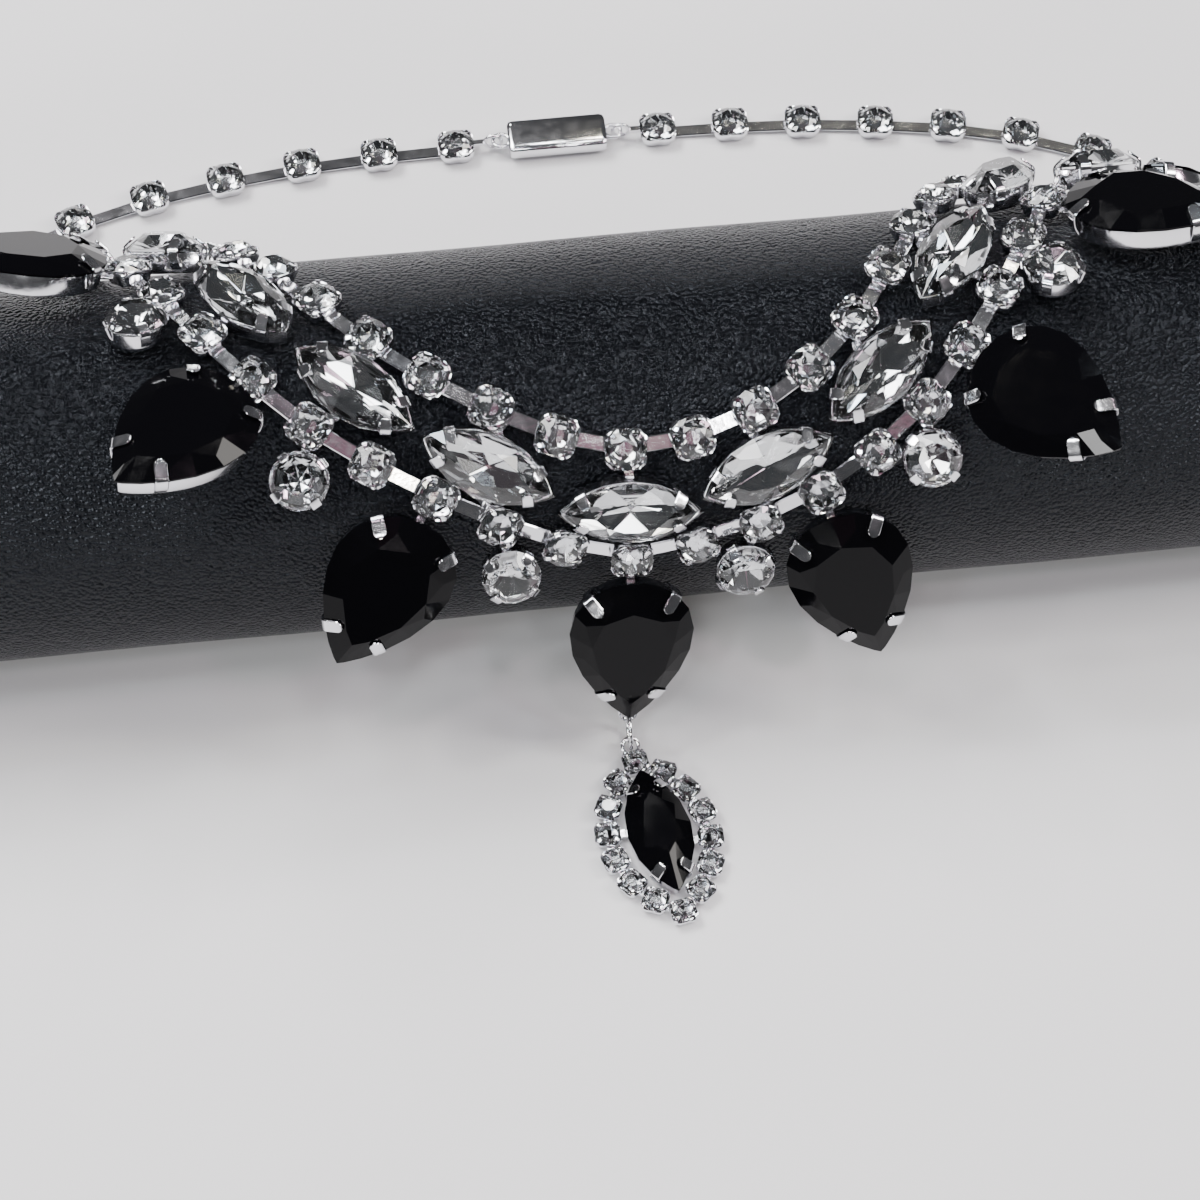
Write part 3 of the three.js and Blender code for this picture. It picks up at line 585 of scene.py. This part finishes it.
def marquise_setting(form, at):
    """The cup and four tabs of a marquise stone."""
    stone_setting(form, marquise_outline, MARQUISE, at)


def round_setting(form, at):
    """The cup and four tabs of a large round stone."""
    stone_setting(form, round_outline, ROUND, at)


def pear_setting(form, at):
    """The cup and four tabs of a pear stone."""
    stone_setting(form, pear_outline, PEAR, at)


def wall_middle(half_size):
    """How far the middle of a setting's wall is from the stone's centre."""
    return half_size * RIM_SHARE - SETTING_WALL / 2


def wall_inside(half_size):
    """How far the inner face of a setting's wall is from the stone's centre."""
    return half_size * RIM_SHARE - SETTING_WALL


def square_outline(angle, side, corner):
    """A rounded square: a circle pushed out at its four corners."""
    push = np.abs(np.sin(2 * angle)) ** SQUARE_CORNER_POWER
    radius = side + (corner - side) * push
    return np.stack([radius * np.cos(angle), radius * np.sin(angle)], axis=-1)


def small_cup(form, size, at):
    """A stamped square cup, rings up outside and down inside as scales of its
    outline at heights, with four pointed corner claws, and its round stone."""
    foot, radius, corner, rim = size["foot"], size["radius"], size["corner"], size["rim"]
    outer = square_outline(equal_angles(CUP_STEPS), 1, corner / radius)
    rows = [
        (foot * 0.9, 0.0), (foot * 0.97, 0.1), (foot, 0.3), (radius * 0.95, rim * 0.6),
        (radius * 0.97, rim - 0.15), (radius * 0.95, rim - 0.05), (radius * 0.88, rim - 0.1),
        (radius * 0.8, rim * 0.6), (foot * 0.75, 0.25),
    ]
    closed_rings(form, [lifted(outer, scale, height) for scale, height in rows], at=at)
    reach = corner * 0.93
    claw_path = [
        (foot, rim * 0.3), (reach * 0.97, rim * 0.7), (reach, rim + 0.1),
        (reach * 0.92, rim + 0.34), (size["stone"] * 0.74, rim + (size["table"] - rim) * 0.6),
    ]
    for quarter in range(4):
        spin = turn("Z", (quarter + 0.5) * math.pi / 2)
        tab(form, claw_path, radius * CLAW["width_share"], CLAW["thickness"], at @ spin, CLAW["point"])
    stone = dict(SMALL_STONE, length=2 * size["stone"], width=2 * size["stone"])
    heights = (SMALL_CULET_HEIGHT, rim, size["table"])
    cut_stone(form, round_outline, stone, (GLASS, FOIL), heights, at, SMALL_GIRDLE)


def bar_between(form, start, end, width, thickness):
    """A flat bar with eased edges between two frames, facing as they do."""
    a, b = start[:3, 3], end[:3, 3]
    direction = b - a
    length = np.linalg.norm(direction)
    along = direction / length
    side = np.cross(start[:3, 2] + end[:3, 2], along)
    side /= np.linalg.norm(side)
    at = np.eye(4)
    at[:3, :3] = np.column_stack([along, side, np.cross(along, side)])
    at[:3, 3] = a
    y, z = (FLAT_SECTION * (width / 2, thickness / 2)).T
    rings = [np.column_stack([np.full(len(y), x), y, z]) for x in (0, length)]
    closed_rings(form, rings, at=at)


def link_bar(form, start, end, bar=BAR):
    """A flat bar between two frames at the bar's own height over them."""
    middle = shift(0, 0, bar["height"] + bar["thickness"] / 2)
    bar_between(form, start @ middle, end @ middle, bar["width"], bar["thickness"])


def solder_bar(form, cup, spot):
    """From just inside a cup's side to a spot in a setting's wall."""
    step = spot[:3, 3] - cup[:3, 3]
    start = cup.copy()
    start[:3, 3] += step / np.linalg.norm(step) * SMALL["foot"] * SOLDER_START_SHARE
    link_bar(form, start, spot, SOLDER_BAR)


def chain(form, places):
    """A small cup at each place and a flat bar from each to the next."""
    for place in places:
        small_cup(form, SMALL, place["frame"])
    for before, after in zip(places, places[1:]):
        link_bar(form, before["frame"], after["frame"])


# Neck strands
def neck_layout(side):
    """Places along a strand's route: the bib's eye, the strand's ring, its two
    marquises, its small cups at equal steps, and its end."""
    sign = SIDES[side]
    end = outer_cup(END_CUP * sign)
    rows = NECK_ROUTES[side]
    last = sign * (CLASP_LENGTH / 2 + 2 * EYE_RADIUS - WIRE_RADIUS / 2)
    route = Route([(end["across"], end["along"])] + rows + [(last, rows[-1][1])])
    eye = SMALL["radius"] + EYE_RADIUS - WIRE_RADIUS / 2
    start = eye + EYE_RADIUS
    clear = start + EYE_RADIUS + WIRE_RADIUS + MARQUISE["length"] / 2 * RIM_SHARE
    black = clear + NECK_STRAND["marquise_pitch"]
    first = black + MARQUISE["length"] / 2 + CUP_REACH + NECK_STRAND["small_gap"]
    final = route.length - NECK_STRAND["end_reach"] - SMALL["radius"]
    count = math.floor((final - first) / NECK_STRAND["small_pitch"] + 0.5) + 1
    return dict(
        eye=route.place(eye), start=route.place(start), clear=route.place(clear), black=route.place(black),
        small=[route.place(distance) for distance in np.linspace(first, final, count)],
        end=route.place(route.length),
    )


NECK = {side: neck_layout(side) for side in SIDES}


def standing(place):
    """A place's frame at eye height, turned so that a ring stands in it."""
    return place["frame"] @ shift(0, 0, EYE_HEIGHT) @ turn("X", math.pi / 2)


def wire_bar(form, start, end):
    """A bar of half the usual width between two frames, at eye height."""
    middle = shift(0, 0, EYE_HEIGHT)
    bar_between(form, start @ middle, end @ middle, BAR["width"] / 2, BAR["thickness"])


# The tip's eye, the jump ring and the pendant's place
TIP_EYE = drop_frame(PEAR_DROPS["pear_stone_middle"], PEAR) @ shift(TIP_EYE_REACH, 0, TIP_EYE_HEIGHT)
TIP_CENTRE = TIP_EYE[:3, 3]
RING_DROP = TIP_CENTRE[2] - FLOOR_CLEARANCE - PENDANT_LOOP_HEIGHT
JUMP_RING_RADIUS = math.hypot(JUMP_RING_ADVANCE, RING_DROP) / 2
LOOP_CENTRE = TIP_CENTRE + (0, -JUMP_RING_ADVANCE, -RING_DROP)
LOOP_TO_STONE = TINY_SEAT + LOOP_RADIUS - WIRE_RADIUS / 2
PENDANT = (
    shift(LOOP_CENTRE[0], LOOP_CENTRE[1], FLOOR_CLEARANCE)
    @ turn("Z", math.radians(PENDANT_LEAN - 90))
    @ shift(LOOP_TO_STONE + HALO_HALF_LENGTH, 0, 0)
)


def halo_frames():
    """Cups at equal steps along the two arcs of a lens, turned to face outwards."""
    radius = (HALO_HALF_LENGTH ** 2 + HALO_HALF_WIDTH ** 2) / (2 * HALO_HALF_WIDTH)
    reach = math.asin(HALO_HALF_LENGTH / radius)
    half = HALO_STONES // 2
    frames = []
    for i in range(HALO_STONES):
        side = 1 if i < half else -1
        angle = reach * (1 - 2 * (i % half) / half) * side
        x = radius * math.sin(angle)
        y = side * (radius * math.cos(angle) - (radius - HALO_HALF_WIDTH))
        heading = math.atan2(y * HALO_HALF_LENGTH / HALO_HALF_WIDTH, x)
        frames.append(PENDANT @ shift(x, y, 0) @ turn("Z", heading))
    return frames


# Shader maths
class Term:
    """A socket that Python's operators add Math nodes to."""

    def __init__(self, tree, socket):
        self.tree = tree
        self.socket = socket

    def maths(self, operation, *values):
        """One Math node on two values."""
        return add_node(self.tree, "ShaderNodeMath", dict(operation=operation), dict(enumerate(values)))

    def __add__(self, other):
        return self.maths("ADD", self, other)

    __radd__ = __add__

    def __mul__(self, other):
        return self.maths("MULTIPLY", self, other)

    __rmul__ = __mul__


def add_node(tree, kind, settings=None, inputs=None, output=0):
    """Adds a node, sets it up, fills or links its inputs and returns one output as a Term."""
    node = tree.nodes.new(kind)
    for key, value in (settings or {}).items():
        setattr(node, key, value)
    for key, value in (inputs or {}).items():
        if isinstance(value, Term):
            tree.links.new(value.socket, node.inputs[key])
        else:
            node.inputs[key].default_value = value
    return Term(tree, node.outputs[output])


def new_material(name, values):
    """A Principled material with its steady values set on its own sockets."""
    material = bpy.data.materials.new(name)
    material.use_nodes = True
    tree = material.node_tree
    shader = tree.nodes["Principled BSDF"]
    for key, value in values.items():
        shader.inputs[key].default_value = value
    return material, tree, shader


def object_place(tree):
    """Object coordinates, in metres."""
    return add_node(tree, "ShaderNodeTexCoord", output="Object")


def noise(tree, place, scale, detail=3.0, roughness=0.5):
    """Noise between 0 and 1, with a scale in features per metre."""
    return add_node(tree, "ShaderNodeTexNoise", {}, {
        "Vector": place, "Scale": scale, "Detail": detail, "Roughness": roughness})


def feed(tree, shader, socket, term):
    """Links a term to one of the shader's sockets."""
    tree.links.new(term.socket, shader.inputs[socket])


def bump(tree, shader, height, strength, distance):
    """Feeds the shader's normal from a height and its depth in metres."""
    normal = add_node(tree, "ShaderNodeBump", {}, {
        "Height": height, "Strength": strength, "Distance": distance})
    feed(tree, shader, "Normal", normal)


def plated_metal():
    """Bright silver plating with a faint unevenness from casting and polish."""
    material, tree, shader = new_material("silver_plating", {
        "Base Color": (0.80, 0.80, 0.83, 1), "Metallic": 1.0, "Roughness": 0.13})
    place = object_place(tree)
    blotches = noise(tree, place, 900.0)
    feed(tree, shader, "Roughness", blotches * 0.14 + 0.06)
    bump(tree, shader, noise(tree, place, 1600.0, 2.0), 0.12, 0.00008)
    return material


def clear_glass():
    """Clear cut glass with a faint cool tint."""
    material, tree, shader = new_material("clear_cut_glass", {
        "Base Color": (0.96, 0.985, 0.99, 1), "Roughness": 0.0, "IOR": 1.56,
        "Transmission Weight": 1.0})
    place = object_place(tree)
    haze = noise(tree, place, 700.0, 2.0)
    feed(tree, shader, "Roughness", haze * 0.02)
    return material


def stone_foil():
    """Silver foil behind the clear stones, slightly warm and cool in patches."""
    material, tree, shader = new_material("stone_foil", {
        "Base Color": (0.80, 0.81, 0.83, 1), "Metallic": 1.0, "Roughness": 0.06})
    place = object_place(tree)
    patches = noise(tree, place, 400.0, 2.0)
    colour = add_node(tree, "ShaderNodeMix", dict(data_type="RGBA"), {
        0: patches, 6: (0.70, 0.72, 0.76, 1), 7: (0.86, 0.84, 0.82, 1)}, output=2)
    feed(tree, shader, "Base Color", colour)
    return material


def black_glass():
    """Opaque black glass with a polished skin."""
    material, tree, shader = new_material("black_cut_glass", {
        "Base Color": (0.0015, 0.0015, 0.002, 1), "Roughness": 0.04, "IOR": 1.5,
        "Specular IOR Level": 0.13})
    place = object_place(tree)
    wear = noise(tree, place, 500.0)
    feed(tree, shader, "Roughness", wear * 0.07 + 0.015)
    return material


def leatherette():
    """Black leatherette: fine pebbles with creases between them, and a soft sheen."""
    material, tree, shader = new_material("black_leatherette", {
        "Base Color": (0.002, 0.0023, 0.0032, 1), "Roughness": 0.32, "IOR": 1.45,
        "Specular IOR Level": 0.22, "Specular Tint": (0.80, 0.88, 1.0, 1)})
    place = object_place(tree)
    pebbles = add_node(tree, "ShaderNodeTexVoronoi", dict(feature="SMOOTH_F1"), {
        "Vector": place, "Scale": 2500.0, "Smoothness": 0.4}, output="Distance")
    creases = noise(tree, place, 1800.0, 3.0, 0.6)
    slow = noise(tree, place, 60.0, 2.0)
    height = pebbles * -1.0 + creases * 0.6
    feed(tree, shader, "Roughness", slow * 0.06 + creases * 0.14 + 0.13)
    bump(tree, shader, height, 1.0, 0.00046)
    return material


# In the order of METAL, GLASS, FOIL and BLACK
FINISHES = [plated_metal(), clear_glass(), stone_foil(), black_glass()]
LEATHERETTE = leatherette()

# The larger stones: the finish of the crown and of the back, and their slot
CLEAR_STONE = dict(crown=FINISHES[GLASS], back=FINISHES[FOIL], slot="clear_stone")
BLACK_STONE = dict(crown=FINISHES[BLACK], back=FINISHES[BLACK], slot="black_stone")


def put_in(name, form, finishes, slot_name, nodes):
    """Makes the mesh of a form in metres, and hides the parts of the model that it replaces."""
    mesh = bpy.data.meshes.new(name)
    mesh.from_pydata((np.vstack(form.points) * MM).tolist(), [], form.faces)
    for material in finishes:
        mesh.materials.append(material)
    mesh.polygons.foreach_set("material_index", form.finishes)
    mesh.set_sharp_from_angle(angle=math.radians(SHARP_ANGLE))
    mesh.polygons.foreach_set("use_smooth", form.smooth)
    mesh.update()
    piece = bpy.data.objects.new(name, mesh)
    bpy.context.scene.collection.objects.link(piece)
    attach(piece, "root")
    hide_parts(*nodes)
    return piece


def bib_frame():
    """Both chains, the settings between and below them, and the eyes."""
    form = Form()
    chain(form, INNER)
    chain(form, OUTER)
    side_reach = wall_middle(MARQUISE["width"] / 2)
    for inner, outer in MARQUISES.values():
        at = marquise_frame(inner, outer)
        marquise_setting(form, at)
        solder_bar(form, inner_cup(inner)["frame"], at @ shift(0, side_reach, 0))
        solder_bar(form, outer_cup(outer)["frame"], at @ shift(0, -side_reach, 0))
    round_reach = wall_middle(ROUND["length"] / 2)
    for row in ROUND_DROPS.values():
        at = drop_frame(row, ROUND)
        round_setting(form, at)
        solder_bar(form, outer_cup(row[0])["frame"], at @ shift(-round_reach, 0, 0))
    pear_reach = wall_middle(PEAR["length"] / 2)
    for row in PEAR_DROPS.values():
        at = drop_frame(row, PEAR)
        pear_setting(form, at)
        solder_bar(form, outer_cup(row[0])["frame"], at @ shift(-pear_reach, 0, 0))
    ring_wire(form, LOOP_RADIUS, TIP_EYE)
    eye_root = TIP_EYE @ shift(pear_reach - TIP_EYE_REACH, 0, 0)
    bar_between(form, eye_root, TIP_EYE @ shift(-LOOP_RADIUS, 0, 0), 2 * WIRE_RADIUS, 2 * WIRE_RADIUS)
    for side, sign in SIDES.items():
        eye = NECK[side]["eye"]["frame"]
        ring_wire(form, EYE_RADIUS, eye @ shift(0, 0, EYE_HEIGHT))
        wire_bar(form, outer_cup(END_CUP * sign)["frame"], eye @ shift(-EYE_RADIUS, 0, 0))
    put_in("bib_frame_dressed", form, FINISHES, "metal", ["bib_frame"])


def main_stone(name, outline, size, at, look):
    """One of the larger stones, alone in its mesh, whose first finish is the
    crown's and the second the back's."""
    form = Form()
    cut_stone(form, outline, size, (0, 1), levels(size), at)
    put_in(f"{name}_cut", form, [look["crown"], look["back"]], look["slot"], [name])


def main_stones():
    """Every larger stone of the bib, the neck strands and the pendant."""
    for name, cups in MARQUISES.items():
        main_stone(name, marquise_outline, MARQUISE, marquise_frame(*cups), CLEAR_STONE)
    for name, row in ROUND_DROPS.items():
        main_stone(name, round_outline, ROUND, drop_frame(row, ROUND), CLEAR_STONE)
    for name, row in PEAR_DROPS.items():
        main_stone(name, pear_outline, PEAR, drop_frame(row, PEAR), BLACK_STONE)
    for side, layout in NECK.items():
        clear, black = layout["clear"]["frame"], layout["black"]["frame"]
        main_stone(f"neck_clear_stone_{side}", marquise_outline, MARQUISE, clear, CLEAR_STONE)
        main_stone(f"neck_black_stone_{side}", marquise_outline, MARQUISE, black, BLACK_STONE)
    main_stone("pendant_stone", marquise_outline, MARQUISE, PENDANT, BLACK_STONE)


def neck_strand(side):
    """A ring, two marquise settings, a chain of small cups and an end ring, along the route."""
    layout = NECK[side]
    form = Form()
    tip = wall_inside(MARQUISE["length"] / 2)
    clear, black = layout["clear"]["frame"], layout["black"]["frame"]
    ring_wire(form, EYE_RADIUS, standing(layout["start"]))
    wire_bar(form, layout["start"]["frame"] @ shift(EYE_RADIUS, 0, 0), clear @ shift(-tip, 0, 0))
    marquise_setting(form, clear)
    link_bar(form, clear @ shift(tip, 0, 0), black @ shift(-tip, 0, 0))
    marquise_setting(form, black)
    link_bar(form, black @ shift(tip, 0, 0), layout["small"][0]["frame"])
    chain(form, layout["small"])
    wire_bar(form, layout["small"][-1]["frame"], layout["end"]["frame"] @ shift(-EYE_RADIUS, 0, 0))
    ring_wire(form, EYE_RADIUS, standing(layout["end"]))
    put_in(f"neck_strand_{side}_dressed", form, FINISHES, "metal", [f"neck_strand_{side}"])


def clasp():
    """A plain bar whose section is a circle pushed out to a rounded oblong, drawn
    in a little at its ends, with an eye at each end."""
    form = Form()
    at = frame_at(0, NECK_ROUTES["left"][-1][1]) @ shift(0, 0, EYE_HEIGHT)
    angle = equal_angles(CUP_STEPS)
    y = np.sign(np.cos(angle)) * np.abs(np.cos(angle)) ** CLASP_SQUARENESS * CLASP_WIDTH / 2
    z = np.sign(np.sin(angle)) * np.abs(np.sin(angle)) ** CLASP_SQUARENESS * CLASP_THICKNESS / 2
    stations = CLASP_LENGTH / 2 * np.array([-1, -0.97, -0.9, 0.9, 0.97, 1])
    shares = [0.82, 0.95, 1, 1, 0.95, 0.82]
    rings = [np.column_stack([np.full(CUP_STEPS, x), y * k, z * k]) for x, k in zip(stations, shares)]
    closed_rings(form, rings, at=at)
    for side in (-1, 1):
        reach = side * (CLASP_LENGTH / 2 + EYE_RADIUS - WIRE_RADIUS / 2)
        ring_wire(form, EYE_RADIUS, at @ shift(reach, 0, 0))
    put_in("clasp_dressed", form, FINISHES, "metal", ["clasp"])


def jump_ring():
    """A wire ring from the middle pear's eye down to the pendant's loop."""
    form = Form()
    middle = (TIP_CENTRE + LOOP_CENTRE) / 2
    ring_wire(form, JUMP_RING_RADIUS, shift(*middle) @ turn("Y", math.pi / 2))
    put_in("jump_ring_dressed", form, FINISHES, "metal", ["jump_ring"])


def pendant_frame():
    """The halo of tiny stones round the pendant's setting, and its loop."""
    form = Form()
    frames = halo_frames()
    for at in frames:
        small_cup(form, TINY, at)
    for i, at in enumerate(frames):
        link_bar(form, at, frames[(i + 1) % HALO_STONES], HALO_BAR)
    marquise_setting(form, PENDANT)
    wall = wall_inside(MARQUISE["width"] / 2)
    half = HALO_STONES // 2
    for i in (HALO_STONES // 4, HALO_STONES // 4 + half):
        side = 1 if i < half else -1
        x = (np.linalg.inv(PENDANT) @ frames[i])[0, 3]
        link_bar(form, frames[i], PENDANT @ shift(x * HALO_HOLD_SHARE, side * wall, 0), HALO_BAR)
    loop = PENDANT @ shift(-HALO_HALF_LENGTH - LOOP_TO_STONE, 0, PENDANT_LOOP_HEIGHT)
    ring_wire(form, LOOP_RADIUS, loop @ turn("Y", math.radians(PENDANT_LOOP_TILT)))
    put_in("pendant_frame_dressed", form, FINISHES, "metal", ["pendant_frame"])


def display_roll():
    """The padded roll: a circle carried along X, drawn in round a quarter circle
    at each end and across a slightly dented end face, flattened where it rests.
    Between the ends its radius is less by a small depth times one minus the
    product of two sines."""
    half = ROLL_LENGTH / 2
    bend = np.linspace(0, np.pi / 2, ROLL_END_STEPS)
    end_x = half - ROLL_END_ROUND * (1 - np.sin(bend))
    end_radius = ROLL_RADIUS - ROLL_END_ROUND * (1 - np.cos(bend))
    body_x = np.linspace(-half + ROLL_END_ROUND, half - ROLL_END_ROUND, ROLL_LENGTH_STEPS)[1:-1]
    face_radius = ROLL_END_RINGS * (ROLL_RADIUS - ROLL_END_ROUND)
    face_x = half - ROLL_END_DENT * (1 - ROLL_END_RINGS)
    x = np.concatenate([-face_x, -end_x[::-1], body_x, end_x, face_x[::-1]])
    body_radius = np.full(len(body_x), ROLL_RADIUS)
    radius = np.concatenate([face_radius, end_radius[::-1], body_radius, end_radius, face_radius[::-1]])
    grid_x, angle = np.meshgrid(x, equal_angles(ROLL_STEPS), indexing="ij")
    long_wave = np.sin(grid_x * ROLL_WAVES["along"] + ROLL_WAVES["sway"] * np.sin(angle))
    round_wave = np.sin(ROLL_WAVES["lobes"] * angle + grid_x * ROLL_WAVES["twist"])
    uneven = ROLL_UNEVENNESS * (long_wave * round_wave - 1)
    on_body = radius == ROLL_RADIUS
    reach = radius[:, None] + uneven * on_body[:, None]
    y = -reach * np.sin(angle)
    z = np.maximum(ROLL_AXIS_HEIGHT + reach * np.cos(angle), 0.0)
    form = Form()
    closed_rings(form, np.stack([grid_x, y, z], axis=-1)[:, ::-1])
    roll = put_in("display_roll_skin", form, [LEATHERETTE], "leatherette", ["display_roll"])


def floor():
    """A plain pale floor, not part of the object."""
    bpy.ops.mesh.primitive_plane_add(size=FLOOR_SIDE, location=(0, 0, 0))
    plane = bpy.context.object
    plane.name = "floor"
    material = new_material("pale_floor", {"Base Color": (0.62, 0.62, 0.63, 1), "Roughness": 0.6})[0]
    plane.data.materials.append(material)


def camera():
    """The camera at the photo's angle."""
    data = bpy.data.cameras.new("camera")
    data.lens = CAMERA_LENS
    data.sensor_width = CAMERA_SENSOR
    data.clip_start = CAMERA_CLIP
    holder = bpy.data.objects.new("camera", data)
    holder.location = Vector(CAMERA_PLACE) * MM
    holder.rotation_euler = Vector(CAMERA_HEADING).to_track_quat("-Z", "Y").to_euler()
    bpy.context.scene.collection.objects.link(holder)
    bpy.context.scene.camera = holder


def area_light(name, place, size, power, tint=(1, 1, 1)):
    """An oblong light at a place, turned to the middle of the object."""
    data = bpy.data.lights.new(name, "AREA")
    data.shape = "RECTANGLE"
    data.size, data.size_y = size
    data.energy = power
    data.color = tint
    holder = bpy.data.objects.new(name, data)
    holder.location = place
    holder.rotation_euler = (Vector(LIGHT_AIM) - Vector(place)).to_track_quat("-Z", "Y").to_euler()
    bpy.context.scene.collection.objects.link(holder)


def studio():
    """Soft light from the back left, the right and the front over a dim surround,
    with a ring of small lights at changing heights that the facets catch."""
    world = bpy.data.worlds.new("studio")
    world.use_nodes = True
    background = world.node_tree.nodes["Background"]
    background.inputs["Color"].default_value = WORLD["colour"]
    background.inputs["Strength"].default_value = WORLD["strength"]
    bpy.context.scene.world = world
    for name, light in LIGHTS.items():
        area_light(name, **light)
    for i in range(SPARKLES):
        around = 2 * math.pi * (i + SPARKLE_START) / SPARKLES
        rise = math.radians(SPARKLE_RISES[i % len(SPARKLE_RISES)])
        place = (
            SPARKLE_DISTANCE * math.cos(rise) * math.cos(around),
            SPARKLE_DISTANCE * math.cos(rise) * math.sin(around),
            SPARKLE_DISTANCE * math.sin(rise),
        )
        tint = SPARKLE_TINTS[i % len(SPARKLE_TINTS)]
        area_light(f"sparkle_{i}", place, (SPARKLE_SIZE, SPARKLE_SIZE), SPARKLE_POWER, tint)


camera()
display_roll()
bib_frame()
main_stones()
for strand_side in SIDES:
    neck_strand(strand_side)
clasp()
jump_ring()
pendant_frame()
floor()
studio()
